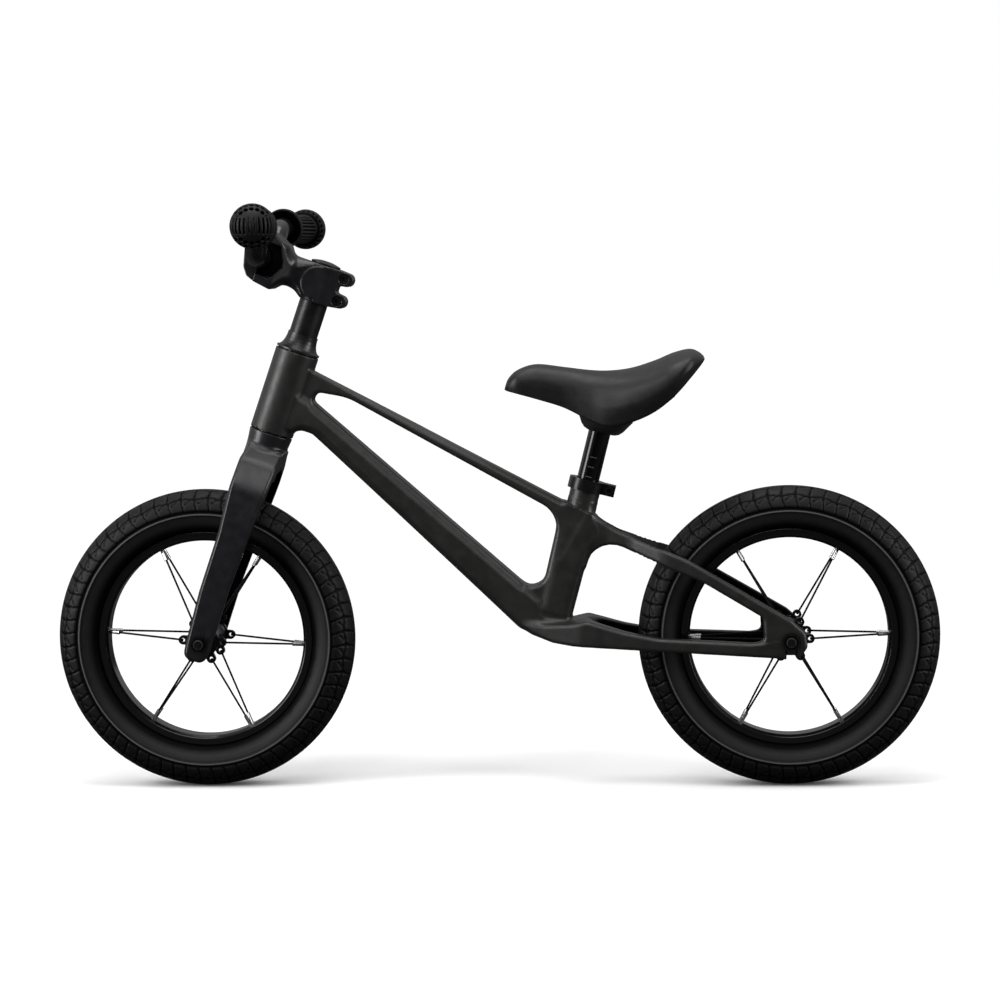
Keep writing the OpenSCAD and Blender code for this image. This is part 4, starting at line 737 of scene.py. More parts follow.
# From nose to tail: distance ahead of the foot, top, lower edge, share of the tail's half
# width, share of the nose's half width
SADDLE_STATIONS = np.array([
    [94, 46, 42.6, 0.04, 0.3], [90, 55, 42, 0, 0.7], [80, 63.5, 39.5, 0, 0.95],
    [62, 68.5, 34.5, 0, 1], [35, 65.5, 26, 0.02, 1], [10, 62.3, 14, 0.16, 0.95],
    [-10, 61.5, 8, 0.36, 0.8], [-32, 64, 12, 0.62, 0.5], [-55, 71, 22.4, 0.85, 0.2],
    [-75, 79, 38.2, 0.96, 0.04], [-92, 82, 57, 0.86, 0], [-104.5, 75.5, 71.5, 0.5, 0]])
SADDLE_FOOT = np.array(seat_pt(200, 0))
TAIL_W, NOSE_W = 64.0, 23.0
SEAM_H = 0.8


def spline(values, steps):
    """Smooth curve through rows of values, with a number of steps between each two."""
    v = np.concatenate([values[:1], values, values[-1:]])
    t = (np.arange(steps) / steps)[None, :, None]
    a, b, c, d = (v[i:len(v) - 3 + i, None, :] for i in range(4))
    curve = 0.5 * (2 * b + (c - a) * t + (2 * a - 5 * b + 4 * c - d) * t**2
                   + (3 * b - a - 3 * c + d) * t**3)
    return np.concatenate([curve.reshape(-1, values.shape[1]), values[-1:]])


def saddle_points(sizes):
    """The cover. At each section the skin runs from one lower edge over the top to the
    other, as a rounded hump, y = half cos(a)^0.8 and z = side + (top - side) sin(a)^0.75,
    and back under with a skirt round a shallow recess. A thin seam stands on the skin above
    the lower edge, and both ends draw in on a quarter ellipse."""
    ahead, top, edge, tail, nose = spline(SADDLE_STATIONS, 12).T[:, :, None]
    x, top, edge = SADDLE_FOOT[0] + ahead, SADDLE_FOOT[1] + top, SADDLE_FOOT[1] + edge
    half = tail * TAIL_W + nose * NOSE_W
    reach = 5.0
    from_end = np.minimum(x[0] - x, x - x[-1])
    drawn = 1 - np.sqrt(1 - (1 - np.clip(from_end / reach, 0, 1)) ** 2)
    top, edge, half = top - 2 * drawn, edge + drawn, half * (1 - 0.3 * drawn)
    rise = top - edge
    angle = np.radians(np.concatenate([[0, 1.5, 3], np.linspace(5, 175, 69), [177, 178.5, 180]]))
    c, s = np.cos(angle)[None, :], np.sin(angle)[None, :]
    side = edge + 0.36 * rise
    y = half * np.sign(c) * np.abs(c) ** 0.8
    z = side + (top - side) * s**0.75
    # From the widest line down to the edge the skin tucks in a little
    tuck = np.linspace(0, 1, 12)[None, 1:]
    behind = smooth_step(0, 25, SADDLE_FOOT[0] - x)
    y_low = half * (1 - (0.07 + 0.06 * behind) * tuck**1.4)
    z_low = side + (edge - side) * tuck
    outline_y = np.concatenate([y_low[:, ::-1], y, -y_low], 1)
    outline_z = np.concatenate([z_low[:, ::-1], z, z_low], 1)
    # The seam: a small ridge a fixed height above the rear edge
    above = outline_z - edge - sizes.seam_height / MM
    ridge = SEAM_H * np.exp(-((above / 0.9) ** 2)) * smooth_step(2, 12, from_end) * behind
    outline_y = outline_y + np.sign(outline_y) * (ridge - SEAM_H)
    skirt = np.maximum(0.93 * half - 5, 0.5 * half)
    deep = np.minimum(4, 0.4 * rise) * smooth_step(4, 12, from_end) + 0.3
    under_y = np.concatenate([-skirt, -skirt + 1, skirt - 1, skirt], 1)
    under_z = np.concatenate([edge, edge + deep, edge + deep, edge], 1)
    points = np.stack(np.broadcast_arrays(
        x, np.concatenate([outline_y, under_y], 1), np.concatenate([outline_z, under_z], 1)), -1)
    rows, columns = points.shape[:2]
    points = np.concatenate([points.reshape(-1, 3), [points[0].mean(0), points[-1].mean(0)]])
    return points, grid_quads(rows, columns), end_fans(rows, columns)


# ---- materials


class Nodes:
    """The nodes of a material or a world, with short ways to add and join them."""

    def __init__(self, owner):
        owner.use_nodes = True
        self.owner = owner
        self.tree = owner.node_tree
        self.shader = self.tree.nodes.get("Principled BSDF")
        self.coordinates = self.add("ShaderNodeTexCoord").outputs
        self.place = self.coordinates["Object"]

    def add(self, kind, **settings):
        """A node of a kind. A setting that names an input gives its value or what feeds it."""
        node = self.tree.nodes.new(kind)
        for key, value in settings.items():
            if key in node.inputs:
                self.feed(node.inputs[key], value)
            else:
                setattr(node, key, value)
        return node

    def feed(self, socket, value):
        """Gives an input a value, or joins an output to it."""
        if isinstance(value, bpy.types.NodeSocket):
            self.tree.links.new(value, socket)
        else:
            socket.default_value = value

    def row(self, kind, values, **settings):
        """A node whose first inputs take values in order; its first output."""
        node = self.add(kind, **settings)
        for socket, value in zip(node.inputs, values):
            self.feed(socket, value)
        return node.outputs[0]

    def maths(self, operation, *values, clamp=False):
        """A maths node's result."""
        return self.row("ShaderNodeMath", values, operation=operation, use_clamp=clamp)

    def times(self, first, *others):
        """Product of two or more values."""
        for other in others:
            first = self.maths("MULTIPLY", first, other)
        return first

    def squares(self, a, b):
        """a a + b b."""
        return self.maths("ADD", self.times(a, a), self.times(b, b))

    def below(self, value, limit):
        """1 where a value is under a limit, else 0."""
        return self.maths("LESS_THAN", value, limit)

    def above(self, value, limit):
        """1 where a value is over a limit, else 0."""
        return self.maths("GREATER_THAN", value, limit)

    def mapped(self, x, z, turn=(0, 0, 0)):
        """The place on the piece, measured from (x, z) in millimetres and turned."""
        return self.parts(self.add(
            "ShaderNodeMapping", vector_type="TEXTURE", Vector=self.place,
            Location=(x * MM, 0, z * MM), Rotation=turn).outputs[0])

    def about(self, x, z):
        """Y, and the distance from an axis along Y through (x, z) in millimetres."""
        x, y, z = self.mapped(x, z)
        return y, self.maths("SQRT", self.squares(x, z))

    def parts(self, vector):
        """The x, y and z of a vector."""
        return self.add("ShaderNodeSeparateXYZ", Vector=vector).outputs

    def noise(self, scale, detail=2.0):
        """Cloudy noise from 0 to 1; scale is in features a metre."""
        return self.add("ShaderNodeTexNoise", Scale=scale, Detail=detail, Vector=self.place).outputs["Fac"]

    def cells(self, scale, **settings):
        """Distance to the nearest of many scattered points."""
        node = self.add("ShaderNodeTexVoronoi", Scale=scale, Vector=self.place, **settings)
        return node.outputs["Distance"]

    def ramp(self, value, low, high, a, b):
        """Runs from a to b as the value goes from low to high."""
        ends = {"From Min": low, "From Max": high, "To Min": a, "To Max": b}
        return self.add("ShaderNodeMapRange", Value=value, **ends).outputs[0]

    def fade(self, value, low, high):
        """1 up to a low value in millimetres, falling to 0 at a high one."""
        return self.ramp(value, low * MM, high * MM, 1.0, 0.0)

    def blend(self, factor, a, b):
        """One colour or another by a factor."""
        return self.add("ShaderNodeMix", data_type="RGBA", Factor=factor, A=a, B=b).outputs["Result"]

    def mixed(self, factor, a, b):
        """One shader or another by a factor."""
        return self.row("ShaderNodeMixShader", (factor, a, b))

    def to_camera(self, seen, unseen):
        """One shader for the camera and another for all other light."""
        return self.mixed(self.add("ShaderNodeLightPath").outputs["Is Camera Ray"], unseen, seen)

    def give(self, **values):
        """Feeds the main shader's inputs, their names written with _ for a space."""
        for name, value in values.items():
            self.feed(self.shader.inputs[name.replace("_", " ")], value)

    def tint(self, mask, colour):
        """Turns the base colour to another where a mask is 1."""
        base = self.shader.inputs["Base Color"].links[0].from_socket
        self.give(Base_Color=self.blend(mask, base, colour))

    def gloss(self, mask, plain, masked):
        """Sets the specular level, from a plain surface's to a masked one's."""
        self.give(Specular_IOR_Level=self.ramp(mask, 0.0, 1.0, plain, masked))

    def bump(self, height, strength, distance):
        """Raises the surface where a value is high."""
        node = self.add("ShaderNodeBump", Height=height, Strength=strength, Distance=distance)
        self.give(Normal=node.outputs[0])


def shade(colour, factor):
    """A colour made darker or lighter, with full opacity."""
    return tuple(min(1.0, c * factor) for c in colour[:3]) + (1.0,)


def grey(level, blue=0.0):
    """A grey, maybe a little blue."""
    return level, level, level + blue


def opaque(level):
    """A plain grey with full opacity."""
    return (*grey(level), 1.0)


def finish(name, colour, rough, metal=0.0, cloud=40.0, spread=0.18, grain=2500.0, lift=0.03,
           coat=0.0, specular=0.5, rough_spread=0.06):
    """A real surface's finish: a slightly cloudy colour and gloss, and a fine grain."""
    n = Nodes(bpy.data.materials.new(name))
    tone = n.blend(n.noise(cloud, 3.0), shade(colour, 1 - spread), shade(colour, 1 + spread))
    rough = n.ramp(n.noise(cloud * 4), 0.3, 0.7, rough - rough_spread, rough + rough_spread)
    n.give(Base_Color=tone, Roughness=rough, Metallic=metal, Coat_Weight=coat, Coat_Roughness=0.12,
           Specular_IOR_Level=specular)
    if lift:
        n.bump(n.noise(grain, 1.0), lift, 0.0003)
    return n


def satin(name, colours):
    """The satin paint of the fork and stem."""
    return finish(name, colours.fork, 0.34, cloud=25, spread=0.12, lift=0.02)


def shaded_inside(n, reach):
    """Paints shade on the faces that look in towards the middle plane, beyond a reach in Y: they turn
    nearly black, with little gloss.
    """
    y = n.parts(n.place)[1]
    facing = n.times(n.maths("SIGN", y), n.parts(n.coordinates["Normal"])[1])
    beyond = n.ramp(n.maths("ABSOLUTE", y), (reach - 4) * MM, reach * MM, 0.0, 1.0)
    inner_face_shade = n.times(n.ramp(facing, -0.75, -0.35, 1.0, 0.0), beyond)
    # Painted shade: faces that look in towards the middle turn nearly black
    n.tint(inner_face_shade, opaque(0.0006))
    n.gloss(inner_face_shade, 0.5, 0.05)
    return n.owner


def tyre_rubber(name, axle, colours):
    """Rubber told apart by its place on the tyre's section: block tops in a lighter,
    stippled grey, grooves and the tread's foot in painted shade, a thin rib in a painted highlight,
    and a sidewall that is glossier along its middle and at the rib, with a painted highlight along its
    middle and painted shade towards the rib and the bead."""
    n = finish(name, colours.rubber, 0.5, cloud=60, spread=0.14, grain=1600, lift=0.08)
    y, out = n.about(axle[0], axle[2])
    ring = n.maths("SUBTRACT", out, SECTION_AT * MM)
    deep = n.maths("SQRT", n.squares(ring, y))
    stipple = n.ramp(n.cells(900.0), 0.15, 0.6, 1.0, 0.0)
    light = n.blend(stipple, shade(colours.tread, 0.7), shade(colours.tread, 1.25))
    tread_zone = n.ramp(ring, 3.6 * MM, 4.4 * MM, 0.0, 1.0)
    top = n.times(tread_zone, n.ramp(deep, (SECTION_R - 0.8) * MM, (SECTION_R - 0.3) * MM, 0.0, 1.0))
    # Painted highlight along the sidewall's middle, and painted shade towards the rib and the bead
    sidewall_highlight = n.fade(n.maths("ABSOLUTE", n.maths("ADD", ring, 5.5 * MM)), 2.0, 8.0)
    rib = n.fade(n.maths("ABSOLUTE", n.maths("SUBTRACT", ring, 0.6 * MM)), 0.45, 0.9)
    wall = n.blend(sidewall_highlight, shade(colours.rubber, 0.35), shade(colours.rubber, 1.7))
    # Painted highlight: the thin rib is painted far paler than the rubber
    wall = n.blend(rib, wall, shade(colours.tread, 20))
    # Painted shade: the tread's grooves and foot are darkened to near black
    wall = n.blend(tread_zone, wall, shade(colours.rubber, 0.2))
    n.give(Base_Color=n.blend(top, wall, light))
    polished = n.maths("SUBTRACT", n.maths("MAXIMUM", rib, n.times(sidewall_highlight, 0.7)), tread_zone, clamp=True)
    n.gloss(n.maths("MAXIMUM", n.times(top, 0.3), polished), 0.05, 0.5)
    return n.owner


def axle_nut(name, axle):
    """Blackened nut with a painted reflection in its middle: a light grey, less metallic disc round the
    axle.
    """
    n = finish(name, grey(0.012, 0.001), 0.22, 0.9, cloud=120, spread=0.25, lift=0.01)
    bright = n.fade(n.about(axle[0], axle[2])[1], 4.0, 5.2)
    # Painted reflection: a light grey disc in the middle of the nut
    n.tint(bright, (*grey(0.14, 0.005), 1))
    n.give(Metallic=n.ramp(bright, 0.0, 1.0, 0.9, 0.2))
    return n.owner


def stem_paint(colours):
    """Satin paint, turned nearly black by painted shade inside the bar clamp's two side pockets."""
    n = satin("stem paint", colours)
    y, off = n.about(*head_pt(BAR_S, BAR_X))
    inside = n.fade(n.maths("ABSOLUTE", y), BAR_CLAMP_W - 4, BAR_CLAMP_W - 1.5)
    pocket = n.times(inside, n.fade(off, 23, 25))
    # Painted shade inside the bar clamp's side pockets
    n.tint(pocket, shade(colours.fork, 0.2))
    n.gloss(pocket, 0.5, 0.15)
    return n.owner


def grip_rubber(colours):
    """Rubber with painted shade: darker between the ribs, in the ball's holes, on the ball's inner side
    and on the disc's recessed face. Places are measured along and out from the grip's own axis, the same
    on each side."""
    n = finish("grip rubber", colours.grip, 0.5, cloud=60, spread=0.12, grain=1800, lift=0.04)
    c, s = math.cos(BAR_SWEEP), math.sin(BAR_SWEEP)
    bar_x, bar_z = head_pt(BAR_S, BAR_X)
    x, y, z = n.parts(n.place)
    ahead = n.maths("SUBTRACT", x, (bar_x - BAR_BACK) * MM)
    out = n.maths("SUBTRACT", n.maths("ABSOLUTE", y), BEND_Y * MM)
    up = n.maths("SUBTRACT", z, (bar_z + BAR_RISE) * MM)
    run = n.maths("SUBTRACT", n.times(out, c), n.times(ahead, s))
    off = n.maths("ADD", n.times(ahead, c), n.times(out, s))
    along = n.maths("SUBTRACT", run, (BEND_RUN - GRIP_L) * MM)
    square = n.squares(off, up)
    radius = n.maths("SQRT", square)
    past = n.maths("SUBTRACT", along, BALL_AT * MM)
    from_ball = n.maths("SQRT", n.maths("ADD", square, n.times(past, past)))
    hole = n.fade(from_ball, BALL_R - 1.0, BALL_R - 0.3)
    ball_inner_shade = n.times(n.fade(radius, 17.9, 18.5), n.below(past, 0.0))
    hole = n.times(n.maths("MAXIMUM", hole, ball_inner_shade), n.above(along, 90.2 * MM))
    valley = n.times(n.fade(radius, GRIP_R - 1.1, GRIP_R - 0.3), n.below(along, 89.0 * MM))
    face = n.times(n.below(radius, 18.3 * MM), n.below(along, 4.0 * MM))
    # Painted shade in the grip's hollows and on the ball's inner side
    dark = n.maths("MAXIMUM", n.maths("MAXIMUM", hole, valley), face)
    n.tint(dark, shade(colours.grip, 0.1))
    n.gloss(dark, 0.2, 0.02)
    return n.owner


def seatpost_finish(colours):
    """Gloss black tube with plain, evenly spaced height ticks on its left face."""
    n = finish("seatpost black", colours.post, 0.12, cloud=25, spread=0.2, lift=0.005, specular=0.4,
               rough_spread=0.03)
    x, y, up = n.mapped(*SEAT_FOOT, (0, -SEAT_LEAN, 0))
    tick_every, half_tick, half_width, first, last = 0.01, 0.035, 0.0032, 0.12, 0.178
    step = n.maths("FRACT", n.maths("DIVIDE", up, tick_every))
    line = n.below(n.maths("ABSOLUTE", n.maths("SUBTRACT", step, 0.5)), half_tick)
    near = n.below(n.maths("ABSOLUTE", x), half_width)
    tick = n.times(line, near, n.above(y, 0.0), n.above(up, first), n.below(up, last))
    n.tint(tick, opaque(0.09))
    return n.owner


def saddle_skin(colours):
    """Soft moulded skin with a fine leathery grain."""
    n = finish("saddle skin", colours.saddle, 0.42, cloud=30, spread=0.12, lift=0.0, specular=0.3)
    n.bump(n.maths("ADD", n.cells(700.0, feature="SMOOTH_F1"), n.noise(90)), 0.12, 0.0004)
    return n.owner


def cad_finishes(colours):
    """The finish of each CAD node that no finer piece replaces, by node name."""
    def made(name, colour, rough, metal=0.0, **more):
        return finish(name, colour, rough, metal, **more).owner

    steel = made("bright steel", grey(0.55, 0.01), 0.3, 1.0, lift=0.02, spread=0.1)
    dark = made("blackened steel", colours.steel, 0.36, 0.85, cloud=120, spread=0.25)
    black = made("washer black", grey(0.004, 0.0002), 0.3, cloud=150, spread=0.3)
    tube = made("inner tube rubber", grey(0.02, 0.001), 0.55, cloud=60, spread=0.15, lift=0.05)
    plastic = made("moulded plastic", grey(0.02, 0.001), 0.45, cloud=80, spread=0.15, lift=0.05)
    spacer = made("spacer black", shade(colours.fork, 0.5), 0.38, cloud=25, spread=0.12, lift=0.01,
                  specular=0.35)
    wheel = {
        "inner_tube": tube, "valve": dark, "rim_tape": plastic, "hub_bearings": steel, "axle": dark,
        "axle_washers": black, "axle_spacers": steel,
        "rim": made("rim black", colours.rim, 0.16, spread=0.2, lift=0.0, rough_spread=0.03),
        "hub": made("hub black", colours.hub, 0.28, 0.5, cloud=60, spread=0.2, lift=0.02),
        "spokes": made("spoke black", grey(0.002, 0.0001), 0.6, cloud=200, spread=0.2, lift=0.0,
                       specular=0.1),
        "nipples": made("bright nipple", grey(0.7, 0.02), 0.2, 1.0, cloud=200, spread=0.08, lift=0.0)}
    found = {
        "seatpost": seatpost_finish(colours), "headset_cone": satin("fork satin", colours).owner,
        "handlebar": made("handlebar gloss", colours.bar, 0.2, cloud=25, spread=0.15, lift=0.01, coat=0.3),
        "seat_clamp": made("anodised black", grey(0.006, 0.0004), 0.24, 0.2, cloud=60, spread=0.2,
                           lift=0.01, specular=0.35),
        "saddle_base": made("saddle shell", shade(colours.saddle, 0.9), 0.42, cloud=60, spread=0.15,
                            lift=0.05)}
    for end, axle in (("front", FRONT_AXLE), ("rear", REAR_AXLE)):
        found.update({f"{end}_{name}": material for name, material in wheel.items()})
        found[f"{end}_axle_nuts"] = axle_nut(f"{end} axle nut", axle)
    for material, names in (
        (spacer, "stem_spacer stem_cap"), (plastic, "seatpost_plug"),
        (dark, "seat_clamp_bolt seat_clamp_nut stem_bolts faceplate_bolts stem_cap_bolt"),
        (steel, "saddle_bolt seatpost_insert steerer_tube star_nut"),
        (black, "headset_upper_bearing headset_lower_bearing crown_race compression_ring"),
    ):
        found.update(dict.fromkeys(names.split(), material))
    return found


# ---- settings


def length_setting(name, description, default, low, high):
    """A small length, given in millimetres."""
    return FloatProperty(name=name, description=description, default=default * MM, min=low * MM,
                         max=high * MM, unit="LENGTH", precision=4)


class BikeSizes(bpy.types.PropertyGroup):
    """Sizes of the visible detail that a user would change."""

    frame_chamfer: length_setting("Frame chamfer", "Bevel along the frame's tubes", 6.5, 0, 12)
    frame_edge: length_setting("Edge rounding", "Rounding of the frame's edges", 1.2, 0.2, 6)
    tread_blocks: IntProperty(
        name="Tread blocks", description="Tread blocks around a tyre, an even number",
        default=64, min=48, max=76, step=2)
    tread_depth: length_setting("Tread depth", "Depth of the tread's grooves", 1.3, 0.2, TREAD_H)
    grip_ribs: IntProperty(
        name="Grip ribs", description="Ribs around a grip", default=24, min=12, max=32)
    seam_height: length_setting("Seam height", "Saddle's seam above its lower edge", 2.6, 2, 10)


def colour_setting(name, description, value):
    """A colour property."""
    return FloatVectorProperty(
        name=name, description=description, default=value, size=3, min=0, max=1, subtype="COLOR")


class BikeColours(bpy.types.PropertyGroup):
    """Colours of the bike's finishes."""

    frame: colour_setting("Frame", "Matte paint of the frame", (0.0105, 0.0103, 0.0098))
    fork: colour_setting("Fork and stem", "Satin paint of the fork, stem and spacer", grey(0.0062, 0.0016))
    bar: colour_setting("Handlebar", "Paint of the handlebar", grey(0.004, 0.0002))
    post: colour_setting("Seatpost", "Gloss finish of the seatpost", grey(0.001, 0.0001))
    rubber: colour_setting("Rubber", "Tyre sidewalls and grooves", grey(0.003, 0.0001))
    tread: colour_setting("Tread", "Worn tops of the tread blocks", grey(0.0035, 0.0002))
    grip: colour_setting("Grips", "Rubber of the grips", grey(0.0034, 0.0002))
    saddle: colour_setting("Saddle", "Skin of the saddle", grey(0.0085, 0.0007))
    rim: colour_setting("Rims", "Black of the rims", grey(0.003, 0.0001))
    hub: colour_setting("Hubs", "Black of the hubs", grey(0.009, 0.0005))
    steel: colour_setting("Bolts", "Blackened bolts and axles", grey(0.02, 0.001))


def settings(context):
    """The scene's sizes and colours."""
    return context.scene.balance_bike_sizes, context.scene.balance_bike_colours


# ---- operators


class BIKE_OT_frame(bpy.types.Operator):
    """Builds the cast frame with chamfered tubes that flow into each other"""

    bl_idname = "balance_bike.frame"
    bl_label = "Cast frame"

    def execute(self, context):
        sizes, colours = settings(context)
        paint = finish("frame paint", colours.frame, 0.42, cloud=22, spread=0.1, grain=1800, lift=0.04)
        grid = levels(-311, 245, 1.85), levels_about_slit(54, 1.8), levels(129, 446, 1.85)
        net_piece("Cast_Frame", frame_shape(sizes), grid, "frame",
                  shaded_inside(paint, 8), "frame")
        return {"FINISHED"}


class BIKE_OT_fork(bpy.types.Operator):
    """Builds the fork with its crown and chamfered legs"""

    bl_idname = "balance_bike.fork"
    bl_label = "Fork"

    def execute(self, context):
        paint = shaded_inside(satin("fork paint", settings(context)[1]), 24)
        grid = levels(-26, 26, 1.0), levels(-54, 54, 1.1), levels(-21, 220, 1.4)
        net_piece("Fork_Casting", fork_shape(), grid, "steering", paint, "fork", from_head)
        return {"FINISHED"}


class BIKE_OT_stem(bpy.types.Operator):
    """Builds the stem and the faceplate that holds the handlebar"""

    bl_idname = "balance_bike.stem"
    bl_label = "Stem"

    def execute(self, context):
        paint = stem_paint(settings(context)[1])
        grid = (
            levels(-35, BAR_X + 2, 1.0), levels_about_slit(28, 1.0), levels(STEM_S - 3, BAR_S + 29, 1.0))
        net_piece("Stem_Body", stem_shape(), grid, "steering", paint, "stem", from_head)
        grid = (
            levels(BAR_X - 2, BAR_X + 19, 0.8), levels(-28, 28, 0.9), levels(BAR_S - 27, BAR_S + 29, 0.9))
        net_piece("Stem_Front_Plate", faceplate_shape(), grid, "steering", paint,
                  "stem_faceplate", from_head)
        return {"FINISHED"}


class BIKE_OT_tyres(bpy.types.Operator):
    """Builds both tyres with their tread blocks"""

    bl_idname = "balance_bike.tyres"
    bl_label = "Tyres"

    def execute(self, context):
        sizes, colours = settings(context)
        points, rows, columns = tyre_points(sizes)
        quads = grid_quads(rows, columns, close_rows=True)
        for end, axle in (("front", FRONT_AXLE), ("rear", REAR_AXLE)):
            rubber = tyre_rubber(f"{end} tyre rubber", axle, colours)
            mesh_piece(f"{end.title()}_Treaded_Tyre", points + axle * [1, 0, 1], quads,
                       f"{end}_wheel", rubber, f"{end}_tyre")
        return {"FINISHED"}


class BIKE_OT_grips(bpy.types.Operator):
    """Builds both grips, each with an inner disc, ribs and a ball end"""

    bl_idname = "balance_bike.grips"
    bl_label = "Grips"

    def execute(self, context):
        sizes, colours = settings(context)
        rubber = grip_rubber(colours)
        for name, side in (("left", 1), ("right", -1)):
            points, quads, ends = grip_points(side, sizes)
            mesh_piece(f"{name.title()}_Ball_Grip", points, quads, "bar", rubber,
                       f"{name}_grip", ends)
        return {"FINISHED"}


class BIKE_OT_saddle(bpy.types.Operator):
    """Builds the saddle's soft cover with its seam"""

    bl_idname = "balance_bike.saddle"
    bl_label = "Saddle cover"

    def execute(self, context):
        sizes, colours = settings(context)
        points, quads, ends = saddle_points(sizes)
        cover = mesh_piece("Saddle_Soft_Cover", points, quads, "seat",
                           saddle_skin(colours), "saddle_cover", ends)
        return {"FINISHED"}


class BIKE_OT_finishes(bpy.types.Operator):
    """Gives every piece that shows as it was constructed its own finish"""

    bl_idname = "balance_bike.finishes"
    bl_label = "Finishes"

    def execute(self, context):
        found = cad_finishes(settings(context)[1])
        for name, node in NODES.items():
            if not node.hide_render:
                node.data.materials.clear()
                node.data.materials.append(found[name])
        return {"FINISHED"}


class BIKE_OT_stage(bpy.types.Operator):
    """Builds the floor, the lights, the surroundings and the camera"""

    bl_idname = "balance_bike.stage"
    bl_label = "Stage"

    def execute(self, context):
        scene = context.scene
        for make in (make_floor, make_world, make_lamps, make_camera):
            make(scene)
        scene.view_settings.view_transform = "Standard"
        return {"FINISHED"}


# ---- stage

FLOOR_HALF, FLOOR_GLOW, FLOOR_END_GLOW = 40.0, 0.02, 1.05
# Where the floor turns to plain white, in metres from the origin, and how near a shadow reaches
FLOOR_FADE, SHADOW_REACH = (0.6, 1.3), 0.03


def stand(scene, name, data, matrix=None):
    """Puts a thing that isn't part of the bike into the scene."""
    thing = bpy.data.objects.new(name, data)
    scene.collection.objects.link(thing)
    if matrix:
        thing.matrix_world = matrix
    return thing


def make_floor(scene):
    """A pale floor that keeps the shadow near the bike and runs out to plain white. It looks
    paler to the camera than it lights the bike."""
    mesh = bpy.data.meshes.new("floor")
    corners = [(x * FLOOR_HALF, y * FLOOR_HALF, 0) for x, y in ((-1, -1), (1, -1), (1, 1), (-1, 1))]
    mesh.from_pydata(corners, [], [(0, 1, 2, 3)])
    n = Nodes(bpy.data.materials.new("floor"))
    cloudy = n.noise(3.0)
    dim = n.add("ShaderNodeBsdfDiffuse", Color=n.blend(cloudy, opaque(0.06), opaque(0.065)))
    # Painted contact shadow: the floor's colour darkens where ambient occlusion finds the bike close by
    close = n.add("ShaderNodeAmbientOcclusion", Distance=SHADOW_REACH, samples=8).outputs["AO"]
    pale = n.blend(cloudy, opaque(0.97), opaque(0.98))
    pale = n.blend(n.ramp(close, 0.1, 0.6, 0.0, 1.0), opaque(0.4), pale)
    pale = n.add("ShaderNodeBsdfDiffuse", Color=pale)
    glow = n.add("ShaderNodeEmission", Strength=FLOOR_GLOW)
    white = n.add("ShaderNodeEmission", Strength=FLOOR_END_GLOW)
    away = n.add("ShaderNodeVectorMath", operation="LENGTH", Vector=n.place).outputs["Value"]
    seen = n.mixed(n.ramp(away, *FLOOR_FADE, 0.0, 1.0),
                   n.row("ShaderNodeAddShader", (pale.outputs[0], glow.outputs[0])), white.outputs[0])
    n.feed(n.tree.nodes["Material Output"].inputs["Surface"], n.to_camera(seen, dim.outputs[0]))
    n.tree.nodes.remove(n.shader)
    mesh.materials.append(n.owner)
    stand(scene, "Floor", mesh)


def make_world(scene):
    """A white room: full white to the camera, and to everything else a studio that is
    bright behind, overhead and ahead of the bike, and dark where the camera stands."""
    scene.world = bpy.data.worlds.new("Studio")
    n = Nodes(scene.world)
    x, y, z = n.parts(n.coordinates["Generated"])
    level = n.maths("ADD", n.ramp(y, -0.6, 0.3, 0.28, 0.02), n.ramp(z, 0.35, 0.95, 0.0, 0.5))
    level = n.maths("ADD", level, n.ramp(x, 0.3, 0.95, 0.0, 0.3))
    room = n.add("ShaderNodeBackground", Color=opaque(1), Strength=level)
    white = n.tree.nodes["Background"]
    n.feed(white.inputs["Color"], opaque(1))
    n.feed(n.tree.nodes["World Output"].inputs["Surface"], n.to_camera(white.outputs[0], room.outputs[0]))


def standing(x, y, z, place):
    """World matrix from a thing's own directions and its place."""
    matrix = np.eye(4)
    matrix[:3] = np.stack([x, y, z, place], 1)
    return Matrix(matrix.tolist())


def make_lamps(scene):
    """Soft boxes: a weak one overhead, a tall one at each end, and a wide fill above the camera."""
    for name, place, aim, up, wide, tall, power in (
        ("Overhead", (0.1, 0.2, 2.1), (0, 0, 0.2), (0, 1, 0), 1.5, 1.5, 22.0),
        ("Front_Strip", (2.1, 1.0, 0.95), (0.1, 0, 0.35), (0, 0, 1), 0.8, 2.0, 46.0),
        ("Rear_Strip", (-2.2, 0.7, 0.95), (-0.1, 0, 0.35), (0, 0, 1), 0.8, 2.0, 36.0),
        ("Fill", (0.2, 2.6, 2.4), (0, 0, 0.3), (0, 0, 1), 1.8, 1.8, 24.0),
    ):
        lamp = bpy.data.lights.new(name, "AREA")
        lamp.shape, lamp.size, lamp.size_y, lamp.energy = "RECTANGLE", wide, tall, power
        z = np.subtract(place, aim)
        z = z / np.linalg.norm(z)
        x = np.cross(up, z)
        x = x / np.linalg.norm(x)
        stand(scene, name, lamp, standing(x, np.cross(z, x), z, place))


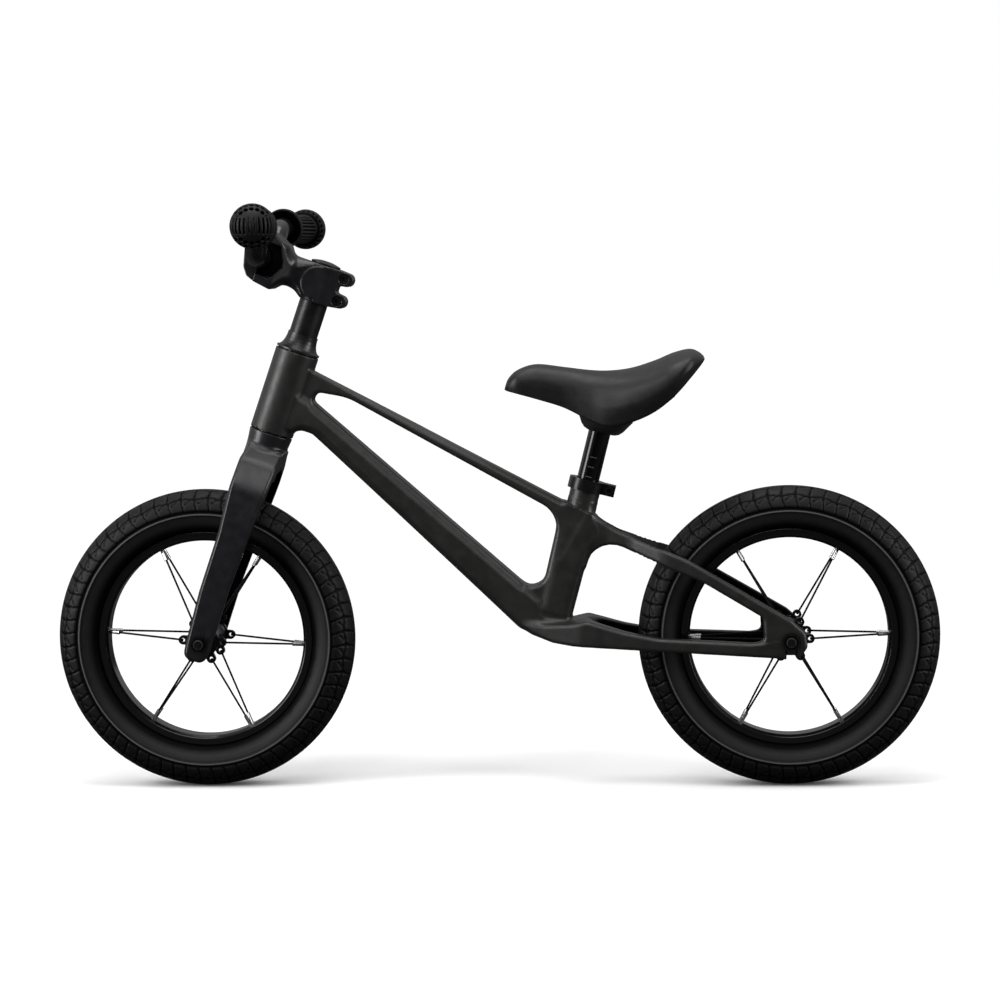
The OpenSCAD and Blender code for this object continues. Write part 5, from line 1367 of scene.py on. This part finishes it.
def rotation(axis, degrees):
    """Matrix that turns about axis 0, 1 or 2."""
    i, j = ((1, 2), (2, 0), (0, 1))[axis]
    matrix = np.eye(3)
    matrix[i, i] = matrix[j, j] = math.cos(math.radians(degrees))
    matrix[j, i] = math.sin(math.radians(degrees))
    matrix[i, j] = -matrix[j, i]
    return matrix


def make_camera(scene):
    """The camera stands well back on the bike's left, a little above the saddle."""
    cam = bpy.data.cameras.new("Camera")
    cam.sensor_width, cam.lens = 36.0, 104.08
    cam.clip_start, cam.clip_end = 0.05, 60.0
    yaw, pitch, roll = -3.213, 4.918, -0.647
    facing = np.array([[-1, 0, 0], [0, 0, -1], [0, -1, 0]], float)
    right, down, ahead = rotation(2, roll) @ rotation(0, pitch) @ rotation(1, -yaw) @ facing
    place = (-0.1664, 2.8743, 0.5346)
    scene.camera = stand(scene, "Camera", cam, standing(right, -down, -ahead, place))


OPERATORS = (BIKE_OT_frame, BIKE_OT_fork, BIKE_OT_stem, BIKE_OT_tyres, BIKE_OT_grips, BIKE_OT_saddle,
             BIKE_OT_finishes, BIKE_OT_stage)


class BIKE_PT_panel(bpy.types.Panel):
    """Lists the bike's settings and the pieces to build"""

    bl_idname = "BIKE_PT_panel"
    bl_label = "Balance Bike"
    bl_space_type = "VIEW_3D"
    bl_region_type = "UI"
    bl_category = "Balance Bike"

    def draw(self, context):
        for group in settings(context):
            for key in group.bl_rna.properties.keys():
                if key not in ("rna_type", "name"):
                    self.layout.prop(group, key)
        for operator in OPERATORS:
            self.layout.operator(operator.bl_idname)


CLASSES = (BikeSizes, BikeColours, *OPERATORS, BIKE_PT_panel)


def register():
    for cls in CLASSES:
        bpy.utils.register_class(cls)
    bpy.types.Scene.balance_bike_sizes = PointerProperty(type=BikeSizes)
    bpy.types.Scene.balance_bike_colours = PointerProperty(type=BikeColours)


def unregister():
    del bpy.types.Scene.balance_bike_colours
    del bpy.types.Scene.balance_bike_sizes
    for cls in reversed(CLASSES):
        bpy.utils.unregister_class(cls)


def main():
    register()
    make = bpy.ops.balance_bike
    make.frame()
    make.fork()
    make.stem()
    make.tyres()
    make.grips()
    make.saddle()
    make.finishes()
    make.stage()


if __name__ == "__main__":
    main()
